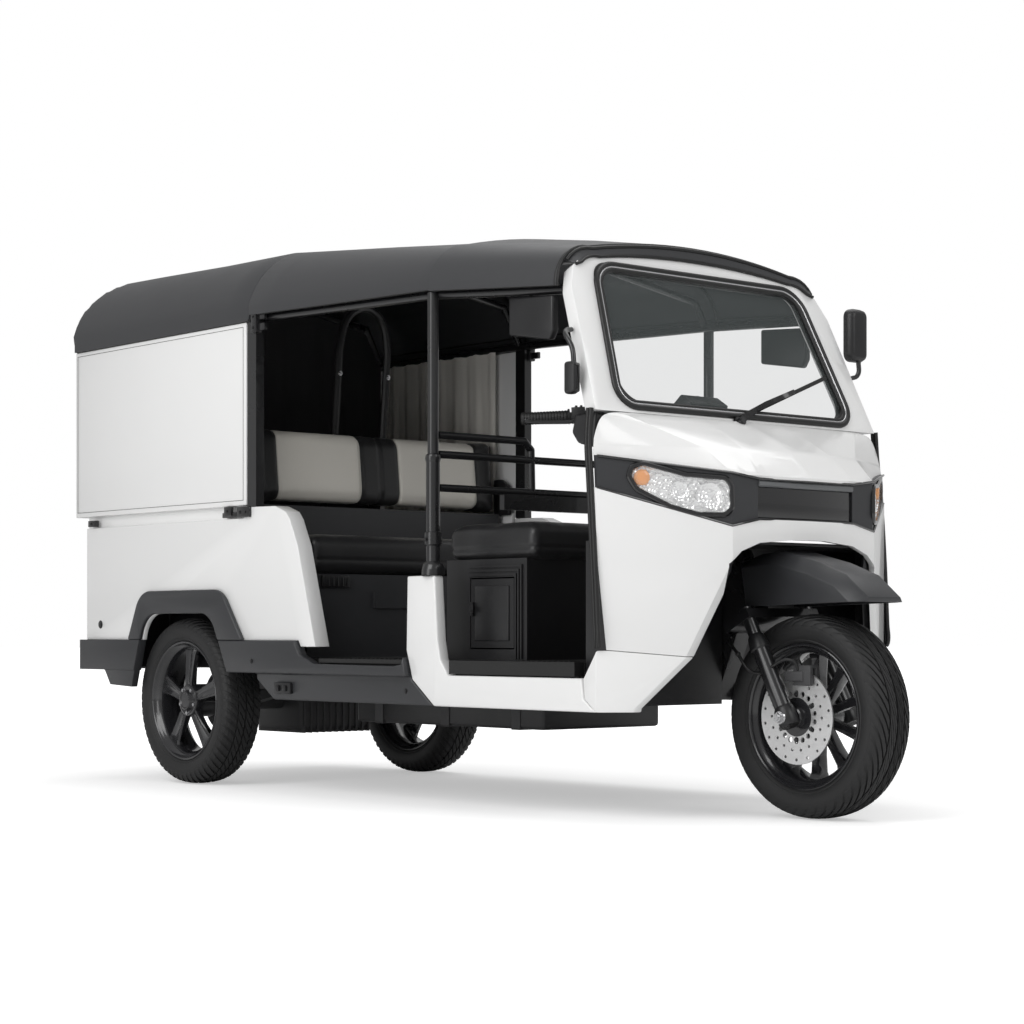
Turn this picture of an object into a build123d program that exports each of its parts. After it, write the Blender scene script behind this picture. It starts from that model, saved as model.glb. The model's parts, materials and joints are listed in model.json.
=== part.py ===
from build123d import *
import os
from math import cos, radians, sin

os.makedirs("parts", exist_ok=True)

# Auto rickshaw with one front and two rear wheels, in millimetres. +X is forward, +Y is the
# vehicle's left and +Z is up. The origin is on the ground, half way along the vehicle.

# Driving dimensions
LENGTH = 3200
WHEELBASE = 2300
HALF_WIDTH = 575
TRACK = 937
TYRE_R = 274
TYRE_WIDTH = 149
RIM_R = 192
FLARE_PROUD = 17
PANEL = 16
RAKE = 28
FORK_OFFSET = 45

FRONT_AXLE_X = LENGTH / 2 - TYRE_R
REAR_AXLE_X = FRONT_AXLE_X - WHEELBASE
REAR_END_X = -LENGTH / 2
REAR_WHEEL_Y = TRACK / 2

# Stations along the vehicle
BODY_REAR_X = -1525
C_POST_X = -545
B_POST_X = 372
DOOR_EDGE_X = 1071
CREASE_X, CREASE_Y = 1281, 282
NOSE_X = 1301

# Levels above the ground
SILL_BOTTOM_Z = 290
SKIRT_BOTTOM_Z = 372
SKIRT_TOP_Z = 474
FLOOR_Z = 420
BELT_Z = 858
PANEL_BOTTOM_Z = 898
PANEL_TOP_Z = 1472
COWL_TOP_Z = 1080
LAMP_LEVEL_Z = 912


def plate_pair(outline, outer_y, thickness):
    """A plate cut to an X-Z outline, its outer face at outer_y, and its mirror image."""
    with BuildPart() as pair:
        with BuildSketch(Plane.XZ.offset(outer_y)):
            with BuildLine():
                Polyline(*outline, close=True)
            make_face()
        extrude(amount=-thickness)
        mirror(about=Plane.XZ)
    return pair.part


def arch_pair(corners, radius, outer_y, thickness):
    """As plate_pair, for an arch of four corners whose upper two are rounded."""
    with BuildPart() as pair:
        with BuildSketch(Plane.XZ.offset(outer_y)) as arch:
            with BuildLine():
                Polyline(*corners, close=True)
            make_face()
            fillet(arch.vertices().group_by(Axis.Y)[-1], radius)
        extrude(amount=-thickness)
        mirror(about=Plane.XZ)
    return pair.part


def across(outline, half_width):
    """An X-Z outline carried across the vehicle from -half_width to +half_width."""
    with BuildPart() as slab:
        with BuildSketch(Plane.XZ):
            with BuildLine():
                Polyline(*outline, close=True)
            make_face()
        extrude(amount=half_width, both=True)
    return slab.part


def box_between(low, high):
    """A rectangular block given by its lowest and highest corners."""
    size = [b - a for a, b in zip(low, high)]
    middle = [(a + b) / 2 for a, b in zip(low, high)]
    return Pos(*middle) * Box(*size, mode=Mode.PRIVATE)


def tube_run(points, radius):
    """A round bar along straight runs, with a ball at each bend."""
    with BuildPart() as run:
        for start, end in zip(points, points[1:]):
            reach = Vector(*end) - Vector(*start)
            with BuildSketch(Plane(origin=start, z_dir=reach)):
                Circle(radius)
            extrude(amount=reach.length)
        for bend in points[1:-1]:
            with Locations(bend):
                Sphere(radius)
    return run.part


def mirrored(points):
    """The same points on the other side of the vehicle."""
    return [(x, -y, z) for x, y, z in points]


def save(part, name):
    part.label = name
    export_step(part, f"parts/{name}.step")


# Chassis: two side rails that kick up over the rear axle, with cross members between them
RAIL_INNER_Y, RAIL_OUTER_Y = 250, 310
RAIL_TOP_Z, RAIL_BOTTOM_Z = 400, 300
KICK_TOP_Z, KICK_BOTTOM_Z = 468, 398
RAIL_FRONT_X, RAIL_REAR_X = 975, -1500
rail_outline = [
    (RAIL_FRONT_X, RAIL_BOTTOM_Z),
    (RAIL_FRONT_X, RAIL_TOP_Z),
    (-560, RAIL_TOP_Z),
    (-660, KICK_TOP_Z),
    (RAIL_REAR_X, KICK_TOP_Z),
    (RAIL_REAR_X, KICK_BOTTOM_Z),
    (-690, KICK_BOTTOM_Z),
    (-590, RAIL_BOTTOM_Z),
]
# Rear face X, bottom Z and top Z of each cross member
CROSS_MEMBERS = [
    (925, 310, 400),
    (520, 310, 390),
    (-510, 310, 390),
    (-760, 408, 458),
    (-1500, 408, 458),
]
CROSS_LENGTH = 50

# The steering axis leans back by RAKE. Places on it are given as a distance s up from the axle.
LEAN = radians(RAKE)
UP_X, UP_Z = -sin(LEAN), cos(LEAN)
AHEAD_X, AHEAD_Z = cos(LEAN), sin(LEAN)


def on_fork(s, y=0):
    """A point on the fork legs' line, s up from the front axle."""
    return (FRONT_AXLE_X + s * UP_X, y, TYRE_R + s * UP_Z)


def on_steering_axis(s):
    """A point on the steering axis, which lies FORK_OFFSET behind the fork legs."""
    x, y, z = on_fork(s)
    return (x - FORK_OFFSET * AHEAD_X, y, z - FORK_OFFSET * AHEAD_Z)


HEAD_LOW_S, HEAD_HIGH_S = 400, 520
HEAD_R, HEAD_BORE_R, COLUMN_R = 32, 20, 17

with BuildPart() as chassis_frame:
    add(plate_pair(rail_outline, RAIL_OUTER_Y, RAIL_OUTER_Y - RAIL_INNER_Y))
    for rear_x, low_z, high_z in CROSS_MEMBERS:
        add(box_between((rear_x, -RAIL_INNER_Y, low_z), (rear_x + CROSS_LENGTH, RAIL_INNER_Y, high_z)))
    add(across([(925, 400), (1042, 712), (1099, 606), (975, 310)], 28))
    with BuildSketch(Plane(origin=on_steering_axis(HEAD_LOW_S), z_dir=(UP_X, 0, UP_Z))):
        Circle(HEAD_R)
    extrude(amount=HEAD_HIGH_S - HEAD_LOW_S)
    with BuildSketch(Plane(origin=on_steering_axis(HEAD_LOW_S - 40), z_dir=(UP_X, 0, UP_Z))):
        Circle(HEAD_BORE_R)
    extrude(amount=HEAD_HIGH_S - HEAD_LOW_S + 80, mode=Mode.SUBTRACT)
save(chassis_frame.part, "chassis_frame")

# Floor of the cab with the rubber-topped thresholds of the four entries
FLOOR_REAR_X, FLOOR_FRONT_X = -522, 990
FLOOR_HALF = 538
ENTRY_THRESHOLDS = [
    ((462, FLOOR_HALF, 382), (985, 572, FLOOR_Z)),
    ((-160, FLOOR_HALF, 408), (258, 572, FLOOR_Z)),
]
with BuildPart() as floor_pan:
    add(box_between((FLOOR_REAR_X, -FLOOR_HALF, RAIL_TOP_Z), (FLOOR_FRONT_X, FLOOR_HALF, FLOOR_Z)))
    add(box_between((920, -30, 390), (1000, 30, 430)), mode=Mode.SUBTRACT)
    for low, high in ENTRY_THRESHOLDS:
        threshold = box_between(low, high)
        add(threshold)
        add(threshold.mirror(Plane.XZ))
save(floor_pan.part, "floor_pan")


# Nose in plan: a straight stretch beside the door edge, the slanting side up to the crease and
# the slightly bowed front, given as half outlines that are mirrored
def nose_slab(half_outline, inset, low_z, high_z):
    outline = half_outline + [(x, -y) for x, y in reversed(half_outline) if y > 0]
    with BuildPart() as slab:
        with BuildSketch(Plane.XY.offset(low_z)):
            with BuildLine():
                Polyline(*outline, close=True)
            make_face()
            if inset:
                offset(amount=-inset, kind=Kind.INTERSECTION, mode=Mode.REPLACE)
        extrude(amount=high_z - low_z)
    return slab.part


nose_plan = [(930, HALF_WIDTH), (DOOR_EDGE_X, HALF_WIDTH), (CREASE_X, CREASE_Y), (NOSE_X, 0)]

# Half outlines of the hood at three levels, rear to front: door edge, crease, hood edge, middle
HOOD_LEVELS = [
    (LAMP_LEVEL_Z, [(930, 575), (1071, 575), (1281, 282), (1290, 190), (1296, 0)]),
    (985, [(930, 570), (1058, 570), (1196, 300), (1219, 170), (1230, 0)]),
    (COWL_TOP_Z, [(930, 556), (1043, 556), (1049, 470), (1059, 170), (1062, 0)]),
]


def hood(inset):
    """The hood's body, or the space inside it when it is inset by the panel's thickness."""
    with BuildPart() as body:
        for (low_z, low), (high_z, high) in zip(HOOD_LEVELS, HOOD_LEVELS[1:]):
            for level_z, half_outline in ((low_z, low), (high_z, high)):
                outline = half_outline + [(x, -y) for x, y in reversed(half_outline) if y > 0]
                with BuildSketch(Plane.XY.offset(level_z)):
                    with BuildLine():
                        Polyline(*outline, close=True)
                    make_face()
                    if inset:
                        offset(amount=-inset, kind=Kind.INTERSECTION, mode=Mode.REPLACE)
            loft(ruled=True)
    return body.part


# Where the nose panels end: the door edge behind, and the slanting wheel opening in front
SEAM_REAR_Z, SEAM_FRONT_Z = 453, 435
door_side = [(900, 200), (1094, 200), (1087, SEAM_REAR_Z), (1049, 1104), (1049, 1200), (900, 1200)]
wheel_opening = [(CREASE_X, 690), (1208, 431), (1130, 300), (1124, 250), (1500, 250), (1500, 690)]
front_arch = [(-290, 400), (-290, 678), (-250, 712), (-185, 735), (-60, 745)]
front_arch += [(-y, z) for y, z in reversed(front_arch)]
seam_under = [
    (900, 200),
    (900, SEAM_REAR_Z),
    (1087, SEAM_REAR_Z),
    (1215, SEAM_FRONT_Z),
    (1500, SEAM_FRONT_Z),
    (1500, 200),
]

# The dark lamp band: its side stretches in X-Z and its front stretch in Y-Z
BAND_INSET = 5
GRILLE_HALF = 190
GRILLE_LOW_Z, GRILLE_HIGH_Z = 797, 905
band_side = [
    (900, 966),
    (DOOR_EDGE_X, 960),
    (CREASE_X + 1, 918),
    (CREASE_X + 1, 776),
    (DOOR_EDGE_X, 874),
    (900, 950),
]
band_front = [(-CREASE_Y, 776), (-CREASE_Y, 918), (-GRILLE_HALF, GRILLE_HIGH_Z)]
band_front += [(-y, z) for y, z in reversed(band_front)]
band_front += [(GRILLE_HALF, GRILLE_LOW_Z), (-GRILLE_HALF, GRILLE_LOW_Z)]


def band_region():
    """The space of the lamp band round the nose."""
    with BuildPart() as region:
        add(across(band_side, HALF_WIDTH + 40))
        add(box_between((800, -CREASE_Y, 700), (1400, CREASE_Y, 1000)), mode=Mode.SUBTRACT)
        with BuildSketch(Plane.YZ.offset(1225)):
            with BuildLine():
                Polyline(*band_front, close=True)
            make_face()
        extrude(amount=120)
    return region.part


with BuildPart() as front_cowl:
    add(nose_slab(nose_plan, 0, SEAM_FRONT_Z, LAMP_LEVEL_Z))
    add(hood(0))
    add(nose_slab(nose_plan, PANEL, SEAM_FRONT_Z, LAMP_LEVEL_Z), mode=Mode.SUBTRACT)
    add(hood(PANEL), mode=Mode.SUBTRACT)
    add(across(door_side, 700), mode=Mode.SUBTRACT)
    add(across(seam_under, 700), mode=Mode.SUBTRACT)
    add(across(wheel_opening, 700), mode=Mode.SUBTRACT)
    with BuildSketch(Plane.YZ.offset(1215)):
        with BuildLine():
            Polyline(*front_arch, close=True)
        make_face()
    extrude(amount=200, mode=Mode.SUBTRACT)
    add(band_region(), mode=Mode.SUBTRACT)
save(front_cowl.part, "front_cowl")

# Lower corners of the nose, below the seam, from the sill to the wheel opening
SEAM_GAP = 2
corner_rear = [
    (900, 200),
    (900, 500),
    (1074, 500),
    (1074, SEAM_REAR_Z),
    (1022, 376),
    (1028, 323),
    (1072, SILL_BOTTOM_Z),
    (1072, 200),
]
seam_over = [
    (900, SEAM_REAR_Z - SEAM_GAP),
    (1087, SEAM_REAR_Z - SEAM_GAP),
    (1215, SEAM_FRONT_Z - SEAM_GAP),
    (1500, SEAM_FRONT_Z - SEAM_GAP),
    (1500, 700),
    (900, 700),
]
with BuildPart() as front_skirts:
    add(nose_slab(nose_plan, 0, SILL_BOTTOM_Z, SEAM_REAR_Z))
    add(nose_slab(nose_plan, PANEL, SILL_BOTTOM_Z, SEAM_REAR_Z), mode=Mode.SUBTRACT)
    add(across(corner_rear, 700), mode=Mode.SUBTRACT)
    add(across(seam_over, 700), mode=Mode.SUBTRACT)
    add(across(wheel_opening, 700), mode=Mode.SUBTRACT)
save(front_skirts.part, "front_skirts")

# Dark lamp band, set a little below the white panels and open where the lamps and the grille sit
NOSE_SIDE = Plane(
    origin=(DOOR_EDGE_X, -HALF_WIDTH, 0),
    x_dir=(CREASE_X - DOOR_EDGE_X, HALF_WIDTH - CREASE_Y, 0),
    z_dir=(HALF_WIDTH - CREASE_Y, DOOR_EDGE_X - CREASE_X, 0),
)
# Lamp outline on the slanting side: distance from the door edge, and height
LAMP_OUTLINE = [
    (93, 906),
    (100, 926),
    (125, 934),
    (235, 905),
    (340, 897),
    (352, 880),
    (354, 826),
    (340, 812),
    (274, 812),
    (200, 832),
    (112, 876),
]


def lamp_bodies(outer, depth):
    """Both lamps as blocks, from outer beyond the nose's side and in by depth."""
    with BuildPart() as lamps:
        with BuildSketch(NOSE_SIDE.offset(outer)):
            with BuildLine():
                Polyline(*LAMP_OUTLINE, close=True)
            make_face()
        extrude(amount=-depth)
        mirror(about=Plane.XZ)
    return lamps.part


with BuildPart() as lamp_band:
    add(nose_slab(nose_plan, BAND_INSET, 760, 970))
    add(nose_slab(nose_plan, BAND_INSET + 12, 750, 980), mode=Mode.SUBTRACT)
    add(band_region(), mode=Mode.INTERSECT)
    add(across(door_side, 700), mode=Mode.SUBTRACT)
    add(lamp_bodies(10, 40), mode=Mode.SUBTRACT)
    add(box_between((1200, -GRILLE_HALF + 2, 700), (1400, GRILLE_HALF - 2, 1000)), mode=Mode.SUBTRACT)
save(lamp_band.part, "lamp_band")

with BuildPart() as headlamps:
    add(lamp_bodies(-1, 24))
save(headlamps.part, "headlamps")

# Grille between the lamps: a panel with a raised bar along its top and fine ribs below
GRILLE_FACE_X = 1276
# Depth behind and ahead of the face, bottom and top of the panel, the bar and each rib
GRILLE_PIECES = [(-16, -4, GRILLE_LOW_Z, GRILLE_HIGH_Z), (-4, 6, 878, 900)]
GRILLE_PIECES += [(-4, 0, rib_z, rib_z + 5) for rib_z in range(806, 872, 12)]
with BuildPart() as grille:
    for behind, ahead, low_z, high_z in GRILLE_PIECES:
        low = (GRILLE_FACE_X + behind, -GRILLE_HALF + 2, low_z)
        high = (GRILLE_FACE_X + ahead, GRILLE_HALF - 2, high_z)
        add(box_between(low, high))
save(grille.part, "grille")

# Dark liner of the front wheel's space: bulkhead, roof and sides against the nose panels
LINER = 8
LINER_TOP_Z = 740
liner_plan = [(992, 538), (1070, 538), (CREASE_X - 19, CREASE_Y - 10), (CREASE_X - 19, 0)]
well_plan = [
    (1000, 528),
    (1060, 528),
    (CREASE_X - 28, CREASE_Y - 22),
    (1400, CREASE_Y - 22),
    (1400, 0),
]
liner_front = [
    (1262, 800),
    (1262, 690),
    (1190, 431),
    (1112, 300),
    (1106, 250),
    (1500, 250),
    (1500, 800),
]
with BuildPart() as wheel_well:
    add(nose_slab(nose_plan, PANEL, 300, LINER_TOP_Z))
    add(nose_slab(liner_plan, 0, 200, 800), mode=Mode.INTERSECT)
    add(nose_slab(well_plan, 0, 200, LINER_TOP_Z - LINER), mode=Mode.SUBTRACT)
    add(across(liner_front, 700), mode=Mode.SUBTRACT)
    add(box_between((980, -32, 290), (1010, 32, 640)), mode=Mode.SUBTRACT)
    with BuildSketch(Plane(origin=on_steering_axis(500), z_dir=(UP_X, 0, UP_Z))):
        Circle(30)
    extrude(amount=100, mode=Mode.SUBTRACT)
save(wheel_well.part, "wheel_well")

# Dashboard shelf under the windshield
with BuildPart() as dashboard:
    with BuildSketch(Plane.XZ):
        with BuildLine():
            Polyline((925, 1030), (950, 1000), (1015, 985), (1025, 1078), (940, 1078), close=True)
        make_face()
    extrude(amount=530, both=True)
save(dashboard.part, "dashboard")

# Windshield: white frame with the pillars, rubber seal and glass, all in one raked plane
SHIELD_X = 1051
SHIELD = Plane(origin=(SHIELD_X, 0, COWL_TOP_Z), x_dir=(0, 1, 0), z_dir=(0.9232, 0, 0.3844))
SHIELD_FRAME = 40
frame_half = [(556, 0), (512, 372), (484, 440), (425, 486), (250, 508), (0, 522)]
frame_outline = frame_half + [(-y, v) for y, v in reversed(frame_half[:-1])]
OPENING_LOW_V, OPENING_HIGH_V = 14, 461
OPENING_LOW_HALF, OPENING_HIGH_HALF = 475, 409
SEAL_WIDTH = 22


def shield_layer(inset, outer, thickness):
    """The windshield opening's shape, smaller by inset, as a layer of the raked plane."""
    with BuildPart() as layer:
        with BuildSketch(SHIELD.offset(outer)) as outline:
            with BuildLine():
                Polyline(
                    (-OPENING_LOW_HALF + inset, OPENING_LOW_V + inset),
                    (OPENING_LOW_HALF - inset, OPENING_LOW_V + inset),
                    (OPENING_HIGH_HALF - inset, OPENING_HIGH_V - inset),
                    (-OPENING_HIGH_HALF + inset, OPENING_HIGH_V - inset),
                    close=True,
                )
            make_face()
            fillet(outline.vertices().group_by(Axis.Y)[0], 85 - inset)
            fillet(outline.vertices().group_by(Axis.Y)[-1], 60 - inset)
        extrude(amount=-thickness)
    return layer.part


with BuildPart() as windshield_frame:
    with BuildSketch(SHIELD):
        with BuildLine():
            Polyline(*frame_outline, close=True)
        make_face()
    extrude(amount=-SHIELD_FRAME)
    add(shield_layer(0, 10, SHIELD_FRAME + 30), mode=Mode.SUBTRACT)
    add(box_between((900, -700, 1000), (1100, 700, COWL_TOP_Z + 1)), mode=Mode.SUBTRACT)
save(windshield_frame.part, "windshield_frame")

with BuildPart() as windshield_seal:
    add(shield_layer(0, 3, 22))
    add(shield_layer(SEAL_WIDTH, 10, 50), mode=Mode.SUBTRACT)
save(windshield_seal.part, "windshield_seal")

with BuildPart() as windshield_glass:
    add(shield_layer(SEAL_WIDTH, -5, 6))
save(windshield_glass.part, "windshield_glass")

# White sill with the foot of the middle post, one on each side
sill_outline = [
    (275, 660),
    (399, 660),
    (413, 477),
    (426, 420),
    (458, 378),
    (1015, 378),
    (1022, 323),
    (1068, SILL_BOTTOM_Z),
    (396, SILL_BOTTOM_Z),
    (298, 363),
    (270, 448),
]
with BuildPart() as sills:
    add(plate_pair(sill_outline, HALF_WIDTH, 35))
save(sills.part, "sills")

# White rear body: sides with wheel openings and a return along their front edge, tail wall with
# the boot opening, and the rim that stands up inside the side panels. The openings are arches of
# four corners, and each flare is a wider arch round its opening.
WHEEL_OPENING = [(-1215, 300), (-1130, 560), (-730, 560), (-600, 300)]
OPENING_CORNER_R = 95
FLARE_ARCH = [(-1232, SKIRT_TOP_Z), (-1154, 636), (-668, 636), (-548, SKIRT_TOP_Z)]
FLARE_CORNER_R = 90
front_edge = [
    (C_POST_X, 892),
    (-386, 889),
    (-330, 870),
    (-308, 846),
    (-266, 764),
    (-225, 627),
    (-174, 455),
]
front_edge_inside = [
    (-190, 455),
    (-241, 622),
    (-281, 757),
    (-322, 837),
    (-338, 856),
    (-388, 873),
    (C_POST_X, 876),
]
body_side = [(BODY_REAR_X, SKIRT_TOP_Z), (BODY_REAR_X, BELT_Z), (-560, BELT_Z)]
body_side += front_edge + [(-250, 455), (-262, SKIRT_TOP_Z)]
RETURN_DEPTH = 54
LID_HALF, LID_LOW_Z, LID_HIGH_Z = 400, 500, 838
LID_GAP = 5
RIM_OUTER_Y, RIM_INNER_Y = 555, 539
with BuildPart() as rear_body:
    add(plate_pair(body_side, HALF_WIDTH, PANEL))
    add(arch_pair(WHEEL_OPENING, OPENING_CORNER_R, HALF_WIDTH + 5, PANEL + 10), mode=Mode.SUBTRACT)
    add(plate_pair(front_edge + front_edge_inside, HALF_WIDTH, RETURN_DEPTH))
    inner_y = HALF_WIDTH - PANEL
    add(box_between((BODY_REAR_X, -inner_y, SKIRT_TOP_Z), (BODY_REAR_X + PANEL, inner_y, BELT_Z)))
    rim_outer = box_between((BODY_REAR_X, -inner_y, 846), (-560, inner_y, BELT_Z))
    rim_upper = box_between((-1545, -RIM_OUTER_Y, 846), (-560, RIM_OUTER_Y, 912))
    rim_space = box_between((-1529, -RIM_INNER_Y, 800), (-500, RIM_INNER_Y, 950))
    rim_under = box_between((-1600, -600, 840), (BODY_REAR_X, 600, BELT_Z))
    add(rim_outer)
    add(rim_upper)
    add(rim_under, mode=Mode.SUBTRACT)
    add(rim_space, mode=Mode.SUBTRACT)
    boot_low = (BODY_REAR_X - 10, -LID_HALF - LID_GAP, LID_LOW_Z - LID_GAP)
    boot_high = (BODY_REAR_X + PANEL + 5, LID_HALF + LID_GAP, LID_HIGH_Z + LID_GAP)
    add(box_between(boot_low, boot_high), mode=Mode.SUBTRACT)
save(rear_body.part, "rear_body")

with BuildPart() as tail_lid:
    add(box_between((BODY_REAR_X, -LID_HALF, LID_LOW_Z), (BODY_REAR_X + PANEL, LID_HALF, LID_HIGH_Z)))
save(tail_lid.part, "tail_lid")

with BuildPart() as tail_lamps:
    for side in (-1, 1):
        add(box_between((BODY_REAR_X - 12, side * 485 - 42, 560), (BODY_REAR_X, side * 485 + 42, 760)))
save(tail_lamps.part, "tail_lamps")

# Dark inner boxes over the rear wheels
HOUSING_REAR_X, HOUSING_FRONT_X, HOUSING_TOP_Z = -1302, -600, 606
HOUSING_INNER_Y, HOUSING_OUTER_Y, HOUSING_WALL = 377, 554, 8
with BuildPart() as wheel_housings:
    for side in (-1, 1):
        low_y, high_y = sorted((side * HOUSING_INNER_Y, side * HOUSING_OUTER_Y))
        add(box_between((HOUSING_REAR_X, low_y, 380), (HOUSING_FRONT_X, high_y, HOUSING_TOP_Z)))
        low_y, high_y = sorted((side * (HOUSING_INNER_Y + HOUSING_WALL), side * (HOUSING_OUTER_Y + 4)))
        space_low = (HOUSING_REAR_X + HOUSING_WALL, low_y, 370)
        space_high = (HOUSING_FRONT_X - HOUSING_WALL, high_y, HOUSING_TOP_Z - HOUSING_WALL)
        add(box_between(space_low, space_high), mode=Mode.SUBTRACT)
save(wheel_housings.part, "wheel_housings")

# Dark outer mouldings: wheel flares, rear bumper and side skirts with the rail below them
with BuildPart() as wheel_flares:
    add(arch_pair(FLARE_ARCH, FLARE_CORNER_R, HALF_WIDTH + FLARE_PROUD, FLARE_PROUD))
    opening_y = HALF_WIDTH + FLARE_PROUD + 5
    add(arch_pair(WHEEL_OPENING, OPENING_CORNER_R, opening_y, FLARE_PROUD + 10), mode=Mode.SUBTRACT)
save(wheel_flares.part, "wheel_flares")

BUMPER_REAR_X, BUMPER_FRONT_X = -1545, -1150
BUMPER_WALL = 32
BUMPER_HALF = HALF_WIDTH + FLARE_PROUD
bumper_lip = [(-1385, SKIRT_BOTTOM_Z), (-1348, 322), (-1206, 316), (-1190, SKIRT_BOTTOM_Z)]
with BuildPart() as rear_bumper:
    outer_high = (BUMPER_FRONT_X, BUMPER_HALF, SKIRT_TOP_Z)
    add(box_between((BUMPER_REAR_X, -BUMPER_HALF, SKIRT_BOTTOM_Z), outer_high))
    inner_half = BUMPER_HALF - BUMPER_WALL
    inner_low = (BUMPER_REAR_X + BUMPER_WALL, -inner_half, 300)
    add(box_between(inner_low, (BUMPER_FRONT_X + 100, inner_half, 600)), mode=Mode.SUBTRACT)
    add(plate_pair(bumper_lip, BUMPER_HALF - 4, BUMPER_WALL - 8))
    add(arch_pair(WHEEL_OPENING, OPENING_CORNER_R, HALF_WIDTH + 100, 200), mode=Mode.SUBTRACT)
save(rear_bumper.part, "rear_bumper")

skirt_outline = [
    (-750, SKIRT_BOTTOM_Z),
    (-750, SKIRT_TOP_Z),
    (-268, SKIRT_TOP_Z),
    (-240, 430),
    (-166, 404),
    (225, 402),
    (262, 407),
    (268, 430),
    (286, SKIRT_BOTTOM_Z),
]
lower_rail = [
    (-495, SKIRT_BOTTOM_Z),
    (-495, 352),
    (-403, 291),
    (383, 291),
    (288, 362),
    (286, SKIRT_BOTTOM_Z),
]
with BuildPart() as side_skirts:
    add(plate_pair(skirt_outline, HALF_WIDTH + 15, 35))
    add(arch_pair(WHEEL_OPENING, OPENING_CORNER_R, HALF_WIDTH + 20, 60), mode=Mode.SUBTRACT)
    add(plate_pair(lower_rail, HALF_WIDTH - 6, 14))
save(side_skirts.part, "side_skirts")

# White side panels and tail panel of the rear cabin
with BuildPart() as side_panels:
    rear_edge = [(REAR_END_X, PANEL_BOTTOM_Z), (REAR_END_X, PANEL_TOP_Z)]
    front_post = [(C_POST_X, PANEL_TOP_Z), (C_POST_X, PANEL_BOTTOM_Z)]
    add(plate_pair(rear_edge + front_post, HALF_WIDTH, 20))
save(side_panels.part, "side_panels")

WINDOW_HALF, WINDOW_LOW_Z, WINDOW_HIGH_Z = 330, 1090, 1390
with BuildPart() as rear_panel:
    add(box_between((REAR_END_X, -555, PANEL_BOTTOM_Z), (REAR_END_X + 20, 555, PANEL_TOP_Z)))
    window_high = (REAR_END_X + 30, WINDOW_HALF, WINDOW_HIGH_Z)
    add(box_between((REAR_END_X - 5, -WINDOW_HALF, WINDOW_LOW_Z), window_high), mode=Mode.SUBTRACT)
save(rear_panel.part, "rear_panel")

with BuildPart() as rear_window:
    pane_high = (REAR_END_X + 12, WINDOW_HALF, WINDOW_HIGH_Z)
    add(box_between((REAR_END_X + 6, -WINDOW_HALF, WINDOW_LOW_Z), pane_high))
save(rear_window.part, "rear_window")

# Roof: dark padded vinyl over bows, as three shells. Each section is half width, lower edge,
# piping level, shoulder point on the way, upper shoulder point and crown.
ROOF_WALL = 14
ROOF_SECTIONS = {
    "rear": (-1600, 575, 1474, 1528, (522, 1632), (400, 1722), 1752),
    "c_post_rear": (-522, 575, 1474, 1522, (522, 1618), (400, 1700), 1732),
    "c_post": (-521, 575, 1492, 1522, (522, 1618), (400, 1700), 1732),
    "b_post": (384, 575, 1467, 1486, (542, 1548), (440, 1600), 1652),
    "b_post_front": (385, 578, 1464, 1489, (545, 1553), (442, 1605), 1658),
    "front": (852, 514, 1432, 1446, (494, 1502), (400, 1546), 1582),
}


def roof_body(first, second, inset):
    """The roof between two named sections, or the space inside it when inset by the wall."""
    faces = []
    for name, overrun in ((first, -5), (second, 5)):
        x, half, low, pipe, on_the_way, shoulder, crown = ROOF_SECTIONS[name]
        if inset:
            x = x + overrun
            low = low - 30
        side = half - inset
        way = (on_the_way[0] - 0.8 * inset, on_the_way[1] - 0.6 * inset)
        top = (shoulder[0], shoulder[1] - inset)
        with BuildSketch(Plane.YZ.offset(x)) as section:
            with BuildLine():
                Line((-side, low), (-side, pipe))
                ThreePointArc((-side, pipe), (-way[0], way[1]), (-top[0], top[1]))
                ThreePointArc((-top[0], top[1]), (0, crown - inset), top)
                ThreePointArc(top, way, (side, pipe))
                Line((side, pipe), (side, low))
                Line((side, low), (-side, low))
            make_face()
        faces.append(section.sketch.faces()[0])
    with BuildPart() as body:
        loft(sections=faces, ruled=True)
    return body.part


def roof_shell(first, second):
    """The roof's shell between two named sections, open below and at both ends."""
    with BuildPart() as shell:
        add(roof_body(first, second, 0))
        add(roof_body(first, second, ROOF_WALL), mode=Mode.SUBTRACT)
    return shell.part


REAR_TOP_Z = 1752
REAR_TOP_R = 130


def tail_room(inset):
    """Everything ahead of the roof's rear face and below its rounded top edge."""
    rear_x, top_z = REAR_END_X + inset, REAR_TOP_Z - inset
    with BuildPart() as room:
        with BuildSketch(Plane.XZ) as profile:
            with BuildLine():
                Polyline((rear_x, 1400), (rear_x, top_z), (-400, top_z), (-400, 1400), close=True)
            make_face()
            fillet(profile.vertices().group_by(Axis.Y)[-1].sort_by(Axis.X)[0], REAR_TOP_R - inset)
        extrude(amount=700, both=True)
    return room.part


with BuildPart() as roof_rear:
    add(roof_body("rear", "c_post_rear", 0))
    add(tail_room(0), mode=Mode.INTERSECT)
    add(roof_body("rear", "c_post_rear", ROOF_WALL) & tail_room(ROOF_WALL), mode=Mode.SUBTRACT)
save(roof_rear.part, "roof_rear")

with BuildPart() as roof_mid:
    add(roof_shell("c_post", "b_post"))
save(roof_mid.part, "roof_mid")

with BuildPart() as roof_front:
    add(roof_shell("b_post_front", "front"))
save(roof_front.part, "roof_front")

# Black frame under the roof: middle and rear posts, side rails and cross bows
POST_Y = 557
RAIL_Y = 541
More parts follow.
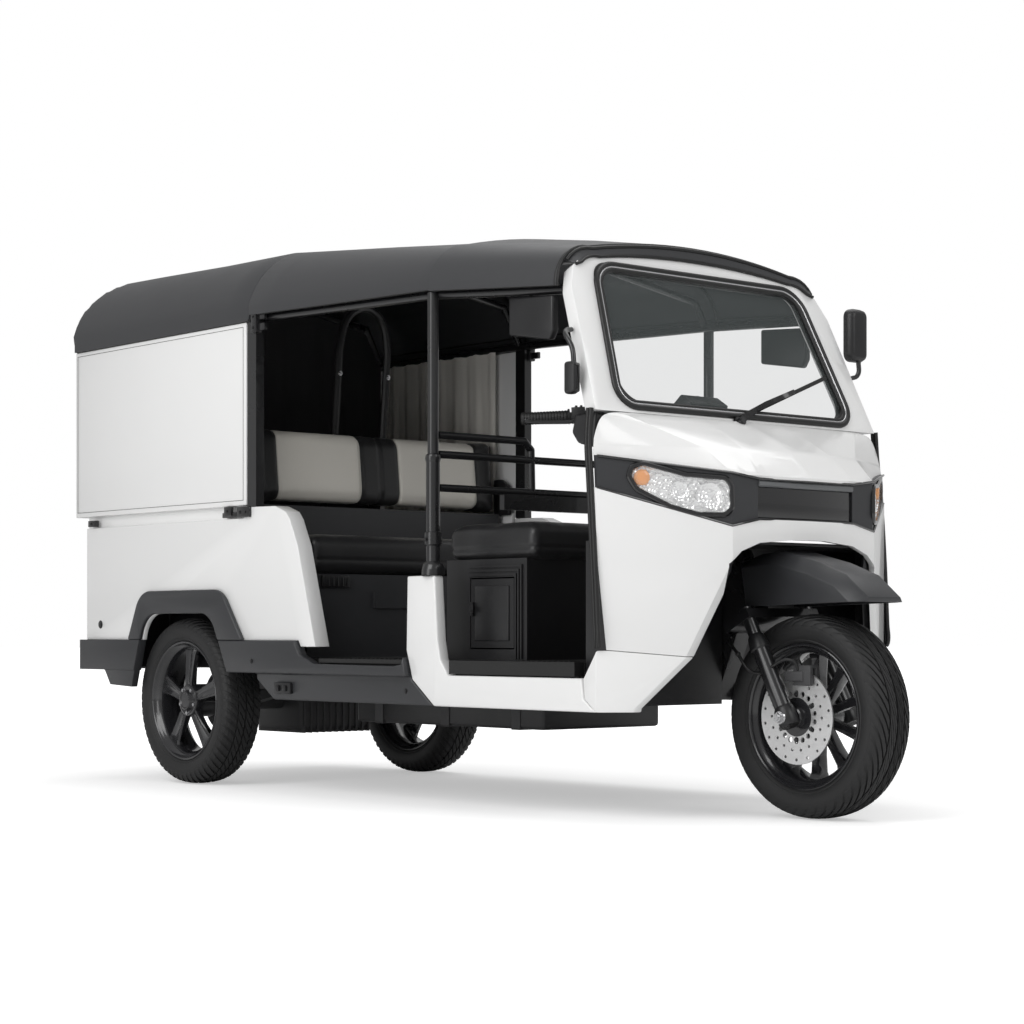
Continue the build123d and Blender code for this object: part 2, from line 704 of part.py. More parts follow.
# Station, level of the side rail, shoulder point and crown level of each bow
BOWS = [
    (-1306, 1484, (470, 1618), 1698),
    (-518, 1484, (466, 1612), 1692),
    (B_POST_X, 1458, (498, 1534), 1616),
]
with BuildPart() as roof_frame:
    for side in (-1, 1):
        add(tube_run([(B_POST_X, side * POST_Y, 660), (B_POST_X, side * POST_Y, 1462)], 16))
        add(tube_run([(B_POST_X, side * POST_Y, 660), (B_POST_X, side * POST_Y, 990)], 20))
        rail = [(-1560, 1484, RAIL_Y), (-500, 1484, RAIL_Y), (B_POST_X, 1458, RAIL_Y), (850, 1424, 484)]
        add(tube_run([(x, side * y, z) for x, z, y in rail], 13))
        add(box_between((-543, side * 556 - 15, 893), (-495, side * 556 + 15, 1472)))
    for bow_x, low_z, shoulder, crown_z in BOWS:
        bow = [(bow_x, RAIL_Y, low_z), (bow_x, *shoulder), (bow_x, 0, crown_z)]
        add(tube_run(bow + mirrored(reversed(bow[:-1])), 11))
save(roof_frame.part, "roof_frame")

# Rails behind the driver, between the middle posts
RAIL_R = 11
with BuildPart() as partition_rail:
    add(tube_run([(B_POST_X, -540, 1005), (B_POST_X, 540, 1005)], RAIL_R))
    add(tube_run([(B_POST_X, -536, 910), (B_POST_X, 536, 910)], RAIL_R))
    hoop = [(B_POST_X, 540, 1060), (B_POST_X, 215, 1060), (B_POST_X, 188, 1035), (B_POST_X, 185, 910)]
    add(tube_run(hoop, RAIL_R))
    add(tube_run(mirrored(hoop), RAIL_R))
    add(box_between((B_POST_X - 10, -300, 856), (B_POST_X + 10, 300, 902)))
save(partition_rail.part, "partition_rail")

# Passenger bench: boxed base with the board that carries the back, seat cushion and back
BENCH_HALF = 518
BASE_TOP_Z, CUSHION_TOP_Z, BOARD_TOP_Z = 680, 802, 908
with BuildPart() as seat_base:
    add(box_between((-515, -515, FLOOR_Z), (-300, 515, BASE_TOP_Z)))
    add(box_between((-520, -503, FLOOR_Z - 5), (-312, 503, BASE_TOP_Z - 12)), mode=Mode.SUBTRACT)
    add(box_between((-300, -260, 575), (-292, 260, 625)))
    add(box_between((-690, -515, BASE_TOP_Z - 12), (-515, 515, BASE_TOP_Z)))
    add(box_between((-690, -515, BASE_TOP_Z - 12), (-600, 515, BOARD_TOP_Z)))
    add(box_between((-695, -505, BASE_TOP_Z), (-610, 505, BOARD_TOP_Z - 10)), mode=Mode.SUBTRACT)
save(seat_base.part, "seat_base")

with BuildPart() as seat_cushion:
    add(box_between((-600, -BENCH_HALF, BASE_TOP_Z), (-272, BENCH_HALF, CUSHION_TOP_Z)))
    top_edges = seat_cushion.edges().filter_by(Axis.Y).group_by(Axis.Z)[-1]
    fillet(top_edges.sort_by(Axis.X)[-1], 40)
save(seat_cushion.part, "seat_cushion")

back_section = [(-585, BOARD_TOP_Z), (-613, 1156), (-635, 1170), (-705, 1165), (-690, BOARD_TOP_Z)]
with BuildPart() as seat_back:
    add(across(back_section, BENCH_HALF))
save(seat_back.part, "seat_back")

# Driver's seat: cushion on a storage box whose right side has a hinged door
DOOR_LOW = (412, 455)
DOOR_HIGH = (599, 650)
BOX_LOW, BOX_HIGH = (303, -450, FLOOR_Z), (655, 450, 706)
BOX_WALL = 12
DOOR_GAP = 4
RIB_PROUD = 5
with BuildPart() as driver_box:
    add(box_between(BOX_LOW, BOX_HIGH))
    inside_low = (BOX_LOW[0] + BOX_WALL, BOX_LOW[1] + BOX_WALL, FLOOR_Z - 5)
    inside_high = (BOX_HIGH[0] - BOX_WALL, BOX_HIGH[1] - BOX_WALL, BOX_HIGH[2] - BOX_WALL)
    add(box_between(inside_low, inside_high), mode=Mode.SUBTRACT)
    with BuildSketch(Plane.XZ.offset(-BOX_LOW[1])):
        for reach in (14, 26, 38):
            with BuildLine():
                right_x, top_z = DOOR_HIGH[0] + reach, DOOR_HIGH[1] + reach
                Polyline(
                    (DOOR_LOW[0] - 8, top_z),
                    (right_x, top_z),
                    (right_x, FLOOR_Z + 4),
                    (right_x - 6, FLOOR_Z + 4),
                    (right_x - 6, top_z - 6),
                    (DOOR_LOW[0] - 8, top_z - 6),
                    close=True,
                )
            make_face()
    extrude(amount=RIB_PROUD)
    doorway_low = (DOOR_LOW[0] - DOOR_GAP, -448, DOOR_LOW[1] - DOOR_GAP)
    doorway_high = (DOOR_HIGH[0] + DOOR_GAP + 1, -430, DOOR_HIGH[1] + DOOR_GAP)
    add(box_between(doorway_low, doorway_high), mode=Mode.SUBTRACT)
    add(box_between((doorway_low[0], -470, doorway_low[2]), doorway_high), mode=Mode.SUBTRACT)
save(driver_box.part, "driver_box")

with BuildPart() as driver_box_door:
    add(box_between((DOOR_LOW[0], -450, DOOR_LOW[1]), (DOOR_HIGH[0], -438, DOOR_HIGH[1])))
save(driver_box_door.part, "driver_box_door")

with BuildPart() as driver_cushion:
    add(box_between((303, -455, 708), (685, 455, 795)))
    fillet(driver_cushion.edges().filter_by(Axis.Z), 45)
    fillet(driver_cushion.faces().sort_by(Axis.Z)[-1].edges(), 25)
save(driver_cushion.part, "driver_cushion")

# Boot floor over the chassis, deck behind the bench, and the hanging curtains of the rear cabin
with BuildPart() as boot_floor:
    add(box_between((-1506, -HOUSING_INNER_Y, 470), (-530, HOUSING_INNER_Y, 478)))
save(boot_floor.part, "boot_floor")

with BuildPart() as luggage_deck:
    add(box_between((-1508, -538, 846), (-770, 538, 858)))
save(luggage_deck.part, "luggage_deck")

sheet_edge = [(528, 870), (528, 1470), (455, 1596), (0, 1686)]
with BuildPart() as curtains:
    with BuildSketch(Plane.YZ.offset(-1294)):
        with BuildLine():
            Polyline(*sheet_edge, *[(-y, z) for y, z in reversed(sheet_edge[:-1])], close=True)
        make_face()
    extrude(amount=10)
    for side in (-1, 1):
        add(box_between((-1278, side * 534 - 5, 916), (-700, side * 534 + 5, 1470)))
save(curtains.part, "curtains")

# Drive: motor and gear block on the rear axle, and the battery case under the floor
with BuildPart() as power_unit:
    add(box_between((-1110, -150, 165), (-850, 150, 385)))
save(power_unit.part, "power_unit")

with BuildPart() as battery_case:
    add(box_between((-420, -235, 215), (480, 235, 400)))
save(battery_case.part, "battery_case")

STUB_R = 18
HUB_OUTER_Y = 520


def round_bar(x, low_y, high_y, z, radius):
    """A round bar across the vehicle."""
    return tube_run([(x, low_y, z), (x, high_y, z)], radius)


trailing_arm = [(-1000, 236), (-1000, 262), (-560, 358), (-560, 322)]
with BuildPart() as rear_axle:
    for side in (-1, 1):
        add(round_bar(REAR_AXLE_X, *sorted((side * 150, side * 385)), TYRE_R, 34))
        add(round_bar(REAR_AXLE_X, *sorted((side * 376, side * 386)), TYRE_R, 100))
        add(round_bar(REAR_AXLE_X, *sorted((side * 380, side * HUB_OUTER_Y)), TYRE_R, STUB_R))
        add(tube_run([(-1006, side * 340, 280), (-1006, side * 340, 470)], 22))
    add(plate_pair(trailing_arm, 350, 40))
save(rear_axle.part, "rear_axle")

# Wheels. The tyre's section is given as half width and radius, from bead to crown.
TYRE_SECTION = [(56, RIM_R), (68, 208), (TYRE_WIDTH / 2, 232), (71, 250), (60, 265), (40, 271), (0, TYRE_R)]
BARREL_SECTION = [(56, RIM_R - 1), (56, RIM_R - 14), (40, RIM_R - 24)]


def wheel_ring(x, y, half_section):
    """A ring round a wheel centre, from half of its section given as half width and radius."""
    section = half_section + [(-w, r) for w, r in reversed(half_section) if w > 0]
    with BuildPart() as ring:
        with BuildSketch(Plane(origin=(x, y, TYRE_R), x_dir=(0, 1, 0), z_dir=(1, 0, 0))):
            with BuildLine():
                Polyline(*section, close=True)
            make_face()
        revolve(axis=Axis((x, y, TYRE_R), (0, 1, 0)))
    return ring.part


def cast_rim(x, y, spokes, spoke_widths, spoke_y, hub_r, hub_y, bore_r, bore_y):
    """Barrel, spokes that widen from hub to barrel, and bored hub.

    spoke_y, hub_y and bore_y are pairs of places across, spoke_widths those at hub and barrel.
    """
    with BuildPart() as wheel:
        add(wheel_ring(x, y, BARREL_SECTION))
        add(round_bar(x, *hub_y, TYRE_R, hub_r))
        with BuildPart(mode=Mode.PRIVATE) as blade_part:
            with BuildSketch(Plane.XZ.offset(-spoke_y[0])):
                with BuildLine():
                    Polyline(
                        (x - spoke_widths[0] / 2, TYRE_R + hub_r - 8),
                        (x - spoke_widths[1] / 2, TYRE_R + RIM_R - 20),
                        (x + spoke_widths[1] / 2, TYRE_R + RIM_R - 20),
                        (x + spoke_widths[0] / 2, TYRE_R + hub_r - 8),
                        close=True,
                    )
                make_face()
            extrude(amount=spoke_y[0] - spoke_y[1])
        blade = blade_part.part
        for spoke in range(spokes):
            add(blade.rotate(Axis((x, y, TYRE_R), (0, 1, 0)), 360 / spokes * spoke))
        add(round_bar(x, *bore_y, TYRE_R, bore_r), mode=Mode.SUBTRACT)
    return wheel.part


for name, side in (("right", -1), ("left", 1)):
    centre_y = side * REAR_WHEEL_Y
    save(wheel_ring(REAR_AXLE_X, centre_y, TYRE_SECTION), f"rear_tyre_{name}")
    rear_rim = cast_rim(
        REAR_AXLE_X,
        centre_y,
        spokes=5,
        spoke_widths=(30, 58),
        spoke_y=sorted((side * 490, side * 512)),
        hub_r=48,
        hub_y=sorted((side * 400, side * 530)),
        bore_r=STUB_R + 0.05,
        bore_y=sorted((side * 395, side * (HUB_OUTER_Y + 2))),
    )
    save(rear_rim, f"rear_rim_{name}")

AXLE_PIN_R = 10
DISC_R = 127
DISC_Y = (-86, -81)
save(wheel_ring(FRONT_AXLE_X, 0, TYRE_SECTION), "front_tyre")
front_rim = cast_rim(
    FRONT_AXLE_X,
    0,
    spokes=10,
    spoke_widths=(16, 34),
    spoke_y=(-16, 16),
    hub_r=36,
    hub_y=(DISC_Y[1], 78),
    bore_r=AXLE_PIN_R + 0.05,
    bore_y=(-200, 200),
)
save(front_rim, "front_rim")

with BuildPart() as brake_disc:
    add(round_bar(FRONT_AXLE_X, *DISC_Y, TYRE_R, DISC_R))
    add(round_bar(FRONT_AXLE_X, -100, -60, TYRE_R, 24), mode=Mode.SUBTRACT)
save(brake_disc.part, "brake_disc")

# Front fork: two legs, the bridge over the tyre, the column up to the handlebar, and the axle
LEG_Y = 122
LEG_R, TUBE_R = 24, 18
BRIDGE_LOW_S, BRIDGE_HIGH_S = 292, 318
COLUMN_TOP_S = 905


def fork_place(s, ahead, y=0):
    """A point s up the fork from the axle and ahead of the legs' line."""
    x, _, z = on_fork(s)
    return (x + ahead * AHEAD_X, y, z + ahead * AHEAD_Z)


bridge_outline = [(BRIDGE_LOW_S, -76), (BRIDGE_HIGH_S, -76), (BRIDGE_HIGH_S, 20), (BRIDGE_LOW_S, 20)]
with BuildPart() as fork:
    for side in (-1, 1):
        add(tube_run([fork_place(-26, 0, side * LEG_Y), fork_place(225, 0, side * LEG_Y)], LEG_R))
        leg_ends = [fork_place(s, 0, side * LEG_Y) for s in (225, BRIDGE_HIGH_S + 8)]
        add(tube_run(leg_ends, TUBE_R))
    add(across([(x, z) for x, _, z in (fork_place(s, ahead) for s, ahead in bridge_outline)], LEG_Y + 20))
    add(tube_run([fork_place(BRIDGE_HIGH_S, -FORK_OFFSET), fork_place(COLUMN_TOP_S, -FORK_OFFSET)], COLUMN_R))
    add(round_bar(FRONT_AXLE_X, -150, 150, TYRE_R, AXLE_PIN_R))
save(fork.part, "fork")

with BuildPart() as brake_caliper:
    caliper_low = (FRONT_AXLE_X + 2, -102, TYRE_R + 84)
    caliper_high = (FRONT_AXLE_X + 62, -66, TYRE_R + 138)
    add(box_between(caliper_low, caliper_high))
    add(box_between((1200, DISC_Y[0] - 3, 200), (1500, DISC_Y[1] + 3, TYRE_R + 130)), mode=Mode.SUBTRACT)
    add(box_between((FRONT_AXLE_X - 24, -108, TYRE_R + 96), (FRONT_AXLE_X + 40, -98, TYRE_R + 122)))
save(brake_caliper.part, "brake_caliper")

# Front mudguard, a faceted shell that turns with the fork
FENDER_HALF = 98
FENDER_WALL = 4
fender_outline = [
    (1152, 568),
    (1132, 690),
    (1182, 711),
    (1262, 715),
    (1388, 684),
    (1482, 650),
    (1556, 590),
    (1552, 578),
]
with BuildPart() as front_fender:
    add(across(fender_outline, FENDER_HALF))
    upper = front_fender.faces().filter_by(Plane.XZ).edges().filter_by(lambda edge: edge.center().Z > 600)
    chamfer(upper.filter_by(lambda edge: 1160 < edge.center().X < 1530), 34)
    under = front_fender.faces().filter_by(lambda face: face.normal_at().Z < -0.9)
    behind = front_fender.faces().filter_by(lambda face: face.normal_at().X < -0.9)
    offset(amount=-FENDER_WALL, openings=[*under, *behind])
save(front_fender.part, "front_fender")

# Handlebar with its grips, switch housings and levers
bar_half = [(590, -410, 1098), (790, -190, 1112), (846, -60, 1092), (848, 0, 1092)]
with BuildPart() as handlebar:
    add(tube_run(bar_half + mirrored(reversed(bar_half[:-1])), 12))
    add(box_between((822, -34, 1066), (876, 34, 1106)))
    sleeve_ends = [fork_place(COLUMN_TOP_S, -FORK_OFFSET), fork_place(COLUMN_TOP_S + 20, -FORK_OFFSET)]
    add(tube_run(sleeve_ends, 24))
save(handlebar.part, "handlebar")

with BuildPart() as instrument_pod:
    add(across([(850, 1108), (905, 1108), (925, 1140), (880, 1168), (845, 1140)], 75))
save(instrument_pod.part, "instrument_pod")

# Mirrors: one stands ahead of the left pillar, the other hangs beside the right one
with BuildPart() as mirrors:
    add(tube_run([(974, 540, 1248), (985, 560, 1258), (985, 560, 1300)], 7))
    add(box_between((968, 512, 1296), (1002, 590, 1452)))
    add(tube_run([(930, -533, 1304), (935, -562, 1296), (975, -570, 1240), (980, -570, 1205)], 7))
    add(box_between((962, -588, 1126), (1000, -556, 1212)))
save(mirrors.part, "mirrors")

with BuildPart() as wiper:
    add(tube_run([(1068, 120, 1086), (1066, 118, 1100), (985, 392, 1262)], 5))
save(wiper.part, "wiper")

flap_outline = [(654, 1420), (835, 1408), (837, 1314), (821, 1289), (654, 1316)]
with BuildPart() as roof_corner_flaps:
    add(plate_pair(flap_outline, 517, 24))
save(roof_corner_flaps.part, "roof_corner_flaps")
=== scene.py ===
import bpy
import bmesh
import json
import math
import mathutils.bvhtree
from mathutils import Matrix, Vector


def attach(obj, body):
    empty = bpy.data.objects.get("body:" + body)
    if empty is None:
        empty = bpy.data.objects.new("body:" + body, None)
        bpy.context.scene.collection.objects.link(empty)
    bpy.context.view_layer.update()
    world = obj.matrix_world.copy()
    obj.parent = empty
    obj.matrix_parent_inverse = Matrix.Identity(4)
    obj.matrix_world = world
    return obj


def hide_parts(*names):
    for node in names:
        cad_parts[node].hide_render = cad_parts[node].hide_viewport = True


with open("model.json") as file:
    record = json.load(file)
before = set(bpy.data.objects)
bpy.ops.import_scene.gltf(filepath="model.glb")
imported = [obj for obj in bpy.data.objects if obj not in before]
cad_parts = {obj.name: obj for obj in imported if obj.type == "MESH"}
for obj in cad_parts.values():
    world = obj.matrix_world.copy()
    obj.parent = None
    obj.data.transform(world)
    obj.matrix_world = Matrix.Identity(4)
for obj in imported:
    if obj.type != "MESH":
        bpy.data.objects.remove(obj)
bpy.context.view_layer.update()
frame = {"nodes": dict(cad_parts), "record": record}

# Camera: stands low ahead of the vehicle's right side, 7 m away, and looks level at it.
# The view is shifted up so that the horizon lies below the middle, with no tilt.
camera_data = bpy.data.cameras.new("camera")
camera_data.sensor_width = 36
camera_data.lens = 79.72
camera_data.shift_y = 0.1177
camera = bpy.data.objects.new("camera", camera_data)
camera.location = (5.3988, -4.5793, 0.4983)
camera.rotation_euler = (math.radians(90), 0, math.radians(49.34))
bpy.context.scene.collection.objects.link(camera)
bpy.context.scene.camera = camera

# Light: a white studio with soft lamps over the near side, low beside it, ahead and overhead. The
# camera sees plain white, through the glass as well, and a dimmer white room lights the rest.
scene = bpy.context.scene
scene.view_settings.view_transform = "Standard"
WHITE = (1, 1, 1, 1)
ROOM_LEVEL, BACKDROP_LEVEL = 0.45, 1.0
LAMP_AIM = Vector((0, 0, 0.8))


def added(tree, kind, inputs, **settings):
    """Adds a shader node and fills its inputs with values or with the outputs of other nodes."""
    node = tree.nodes.new("ShaderNode" + kind)
    for setting, value in settings.items():
        setattr(node, setting, value)
    for socket, value in inputs.items():
        if isinstance(value, bpy.types.NodeSocket):
            tree.links.new(value, node.inputs[socket])
        else:
            node.inputs[socket].default_value = value
    return node


world = bpy.data.worlds.new("studio")
world.use_nodes = True
scene.world = world
tree = world.node_tree
tree.nodes.clear()
path = added(tree, "LightPath", {})
rays = {0: path.outputs["Is Camera Ray"], 1: path.outputs["Is Transmission Ray"]}
seen = added(tree, "Math", rays, operation="MAXIMUM")
room = added(tree, "Background", {"Color": WHITE, "Strength": ROOM_LEVEL})
backdrop = added(tree, "Background", {"Color": WHITE, "Strength": BACKDROP_LEVEL})
choice = added(tree, "MixShader", {0: seen.outputs[0], 1: room.outputs[0], 2: backdrop.outputs[0]})
added(tree, "OutputWorld", {0: choice.outputs[0]})
for name, place, size, power in (
    ("softbox_side", (1.5, -5.5, 4.5), 4.0, 160),
    ("softbox_low", (0.4, -5.0, 1.3), 2.0, 26),
    ("softbox_front", (6.0, 0.5, 4.0), 3.0, 75),
    ("softbox_top", (-0.5, 1.5, 6.0), 5.0, 120),
):
    lamp = bpy.data.lights.new(name, "AREA")
    lamp.size = size
    lamp.energy = power
    lamp_object = bpy.data.objects.new(name, lamp)
    lamp_object.location = place
    lamp_object.rotation_euler = (LAMP_AIM - Vector(place)).to_track_quat("-Z", "Y").to_euler()
    scene.collection.objects.link(lamp_object)

# Floor: a pale seamless sheet under the vehicle. It holds the soft shadow and glows to the
# camera only, more so further away, so that it runs into the white behind it.
floor_mesh = bpy.data.meshes.new("studio_floor")
form = bmesh.new()
bmesh.ops.create_grid(form, x_segments=1, y_segments=1, size=60)
form.to_mesh(floor_mesh)
form.free()
floor = bpy.data.objects.new("studio_floor", floor_mesh)
scene.collection.objects.link(floor)
floor_material = bpy.data.materials.new("studio_floor")
floor_material.use_nodes = True
tree = floor_material.node_tree
tree.nodes.clear()
matt = added(tree, "BsdfDiffuse", {"Color": (0.85, 0.85, 0.85, 1)})
spot = added(tree, "TexCoord", {})
away = added(tree, "VectorMath", {0: spot.outputs["Object"]}, operation="LENGTH")
glow_range = {"From Min": 1.5, "From Max": 6.0, "To Min": 0.42, "To Max": 0.95}
rise = added(tree, "MapRange", {**glow_range, "Value": away.outputs["Value"]})
path = added(tree, "LightPath", {})
seen = added(tree, "Math", {0: path.outputs["Is Camera Ray"], 1: rise.outputs["Result"]}, operation="MULTIPLY")
glow = added(tree, "Emission", {"Strength": seen.outputs[0]})
both = added(tree, "AddShader", {0: matt.outputs[0], 1: glow.outputs[0]})
added(tree, "OutputMaterial", {0: both.outputs[0]})
floor_mesh.materials.append(floor_material)


# Painted body panels: white gloss paint over pressed steel and moulded panels, with rolled
# edges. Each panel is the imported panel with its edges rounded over.
def surface(name, color, roughness, grain=0.0, grain_scale=400.0, mottle=0.0, metallic=0.0, **more):
    """A material with fine surface grain, uneven gloss and slightly varied colour."""
    made = bpy.data.materials.new(name)
    made.use_nodes = True
    tree = made.node_tree
    shader = tree.nodes["Principled BSDF"]
    shader.inputs["Metallic"].default_value = metallic
    for socket, value in more.items():
        shader.inputs[socket.replace("_", " ")].default_value = value
    place = added(tree, "TexCoord", {}).outputs["Object"]
    cloud = added(tree, "TexNoise", {"Scale": 7.0, "Detail": 5.0, "Vector": place}).outputs["Fac"]
    darker, lighter = ((*[min(1, c * share) for c in color], 1) for share in (1 - mottle, 1 + mottle))
    tint = added(tree, "Mix", {"A": darker, "B": lighter, "Factor": cloud}, data_type="RGBA")
    tree.links.new(tint.outputs["Result"], shader.inputs["Base Color"])
    gloss = added(tree, "MapRange", {"To Min": roughness * 0.85, "To Max": roughness * 1.15, "Value": cloud})
    tree.links.new(gloss.outputs["Result"], shader.inputs["Roughness"])
    if grain:
        pores = added(tree, "TexNoise", {"Scale": grain_scale, "Detail": 3.0, "Vector": place})
        bump = added(tree, "Bump", {"Strength": grain, "Distance": 0.001, "Height": pores.outputs["Fac"]})
        tree.links.new(bump.outputs["Normal"], shader.inputs["Normal"])
    return made


def body_of(node):
    """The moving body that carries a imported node."""
    return next(b for b, nodes in frame["record"]["behaviour"]["bodies"].items() if node in nodes)


def slot_of(node):
    """The record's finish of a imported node."""
    return next(s["material_slot"] for s in frame["record"]["subparts"] if s["node"] == node)


def smooth_mesh(name, form, crease):
    """A form's mesh, smooth up to the crease angle."""
    for face in form.faces:
        face.smooth = True
    mesh = bpy.data.meshes.new(name)
    form.to_mesh(mesh)
    form.free()
    mesh.set_sharp_from_angle(angle=math.radians(crease))
    return mesh


def finished_mesh(name, form, place=(0, 0, 0), crease=35):
    """Closes a form: normals outwards, moved to its place, smooth up to the crease angle."""
    bmesh.ops.recalc_face_normals(form, faces=form.faces)
    bmesh.ops.translate(form, verts=form.verts, vec=place)
    return smooth_mesh(name, form, crease)


def piece(name, shape, material, body, replaced=(), crease=35):
    """Puts a form, or a finished mesh, into the scene as a piece that rides on a body."""
    if isinstance(shape, bmesh.types.BMesh):
        shape = finished_mesh(name, shape, crease=crease)
    shape.materials.append(material)
    made = bpy.data.objects.new(name, shape)
    scene.collection.objects.link(made)
    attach(made, body)
    if replaced:
        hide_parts(*replaced)
    return made


def sharp_edges(edges, degrees):
    """The edges where two faces meet at more than an angle."""
    return [e for e in edges if len(e.link_faces) == 2 and e.calc_face_angle() > math.radians(degrees)]


def rounded(form, edges, width, segments=2, clamped=False):
    """Rounds some of a form's edges over, clamped where a narrow face leaves no room."""
    bmesh.ops.bevel(
        form,
        geom=edges,
        offset=width,
        affect="EDGES",
        segments=segments,
        profile=0.5,
        material=-1,
        clamp_overlap=clamped,
    )


FLAT_DEGREES, SHARP_DEGREES, CREASE_DEGREES = 0.6, 24, 40


def rounded_panel(node, width, material):
    """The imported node's own form with its sharp edges rounded over."""
    form = bmesh.new()
    form.from_mesh(frame["nodes"][node].data)
    bmesh.ops.remove_doubles(form, verts=form.verts, dist=0.00002)
    bmesh.ops.dissolve_limit(form, angle_limit=math.radians(FLAT_DEGREES), verts=form.verts, edges=form.edges)
    rounded(form, sharp_edges(form.edges, SHARP_DEGREES), width, clamped=True)
    name = node + "_rounded"
    mesh = smooth_mesh(name, form, CREASE_DEGREES)
    piece(name, mesh, material, body_of(node), [node])


WHITE_GLOSS = {"Coat_Weight": 0.6, "Coat_Roughness": 0.08}
white_paint = surface("white_paint", (0.87, 0.87, 0.865), 0.24, 0.05, 900, mottle=0.01, **WHITE_GLOSS)
for node, width in (
    ("front_cowl", 0.004),
    ("front_skirts", 0.004),
    ("windshield_frame", 0.006),
    ("sills", 0.005),
    ("rear_body", 0.004),
    ("tail_lid", 0.003),
    ("side_panels", 0.003),
    ("rear_panel", 0.003),
):
    rounded_panel(node, width, white_paint)


# Dark mouldings and boxed pieces: grained moulded plastic, enamelled steel and cast metal, each
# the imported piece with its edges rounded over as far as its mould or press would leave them.
dark_plastic = surface("dark_plastic", (0.034, 0.035, 0.038), 0.36, grain=0.25, grain_scale=1200, mottle=0.08)
black_plastic = surface("black_plastic", (0.012, 0.012, 0.013), 0.36, grain=0.2, grain_scale=900, mottle=0.1)
black_enamel = surface("black_enamel", (0.012, 0.012, 0.013), 0.28, grain=0.05, mottle=0.1, Coat_Weight=0.4)
dark_sheet = surface("dark_sheet", (0.03, 0.03, 0.032), 0.5, grain=0.1, mottle=0.12)
roof_vinyl = surface("roof_vinyl", (0.042, 0.043, 0.046), 0.42, grain=0.35, grain_scale=500, mottle=0.06)
curtain_cloth = surface("curtain_cloth", (0.86, 0.83, 0.77), 0.85, grain=0.5, grain_scale=700, mottle=0.05)
cast_metal = surface("cast_metal", (0.05, 0.05, 0.052), 0.55, grain=0.5, grain_scale=300, mottle=0.2)
lamp_glass = surface("lamp_glass", (0.8, 0.8, 0.8), 0.1, mottle=0.05)
red_lens = surface("red_lens", (0.45, 0.01, 0.01), 0.15, mottle=0.05, Coat_Weight=0.5)
clear_glass = surface("clear_glass", (0.20, 0.23, 0.23), 0.03, mottle=0.01, Alpha=0.14, Coat_Weight=0.6)
for node, width, material in (
    ("wheel_flares", 0.006, dark_plastic),
    ("rear_bumper", 0.006, dark_plastic),
    ("side_skirts", 0.006, dark_plastic),
    ("front_fender", 0.004, dark_plastic),
    ("wheel_well", 0.004, black_plastic),
    ("wheel_housings", 0.004, black_plastic),
    ("dashboard", 0.008, black_plastic),
    ("instrument_pod", 0.006, black_plastic),
    ("roof_corner_flaps", 0.006, black_plastic),
    ("battery_case", 0.010, black_plastic),
    ("brake_caliper", 0.003, cast_metal),
    ("power_unit", 0.018, cast_metal),
    ("luggage_deck", 0.003, dark_sheet),
    ("boot_floor", 0.002, dark_sheet),
):
    rounded_panel(node, width, material)

# Tyres: black rubber, 548 mm across on the tread, with a ribbed crown and lugs that wrap over
# both shoulders. Each carcass is turned on its axle, and one pitch of tread is repeated round it.
TYRE_R = 0.274
REAR_AXLE = Vector((-0.974, 0, TYRE_R))
FRONT_AXLE = Vector((1.326, 0, TYRE_R))
REAR_WHEEL_Y = 0.4685
SIDES = (("right", -1), ("left", 1))
tyre_rubber = surface("tyre_rubber", (0.014, 0.014, 0.0145), 0.6, grain=0.4, grain_scale=500, mottle=0.2)


def of_kind(parts, kind):
    """The parts of a form that are all vertices, all edges or all faces."""
    return [part for part in parts if isinstance(part, kind)]


def parts_of(faces):
    """Some faces with their edges and corners."""
    return list({part for face in faces for part in (face, *face.verts, *face.edges)})


def closed_loop(form, places):
    """Corners at some places and the edges that join them in a ring."""
    corners = [form.verts.new(place) for place in places]
    return corners, [form.edges.new(pair) for pair in zip(corners, corners[1:] + corners[:1])]


def turned(form, section, steps):
    """A ring turned round the Y axis from a closed section of places across and radii."""
    corners, edges = closed_loop(form, [(0, across, radius) for across, radius in section])
    bmesh.ops.spin(
        form, geom=corners + edges, cent=(0, 0, 0), axis=(0, 1, 0), angle=math.tau, steps=steps, use_merge=True
    )


def carried(form, outlines):
    """A closed form that runs through a row of outlines with the same number of corners."""
    face = form.faces.new([form.verts.new(place) for place in outlines[0]])
    for before, after in zip(outlines, outlines[1:]):
        grown = bmesh.ops.extrude_face_region(form, geom=[face])["geom"]
        face = of_kind(grown, bmesh.types.BMFace)[0]
        for vert in face.verts:
            nearest = min(range(len(before)), key=lambda i: (vert.co - Vector(before[i])).length)
            vert.co = after[nearest]


def repeated(form, faces, copies):
    """Repeats some faces evenly round the Y axis."""
    angle = math.tau * (copies - 1) / copies
    bmesh.ops.spin(
        form,
        geom=parts_of(faces),
        cent=(0, 0, 0),
        axis=(0, 1, 0),
        angle=angle,
        steps=copies - 1,
        use_duplicate=True,
    )


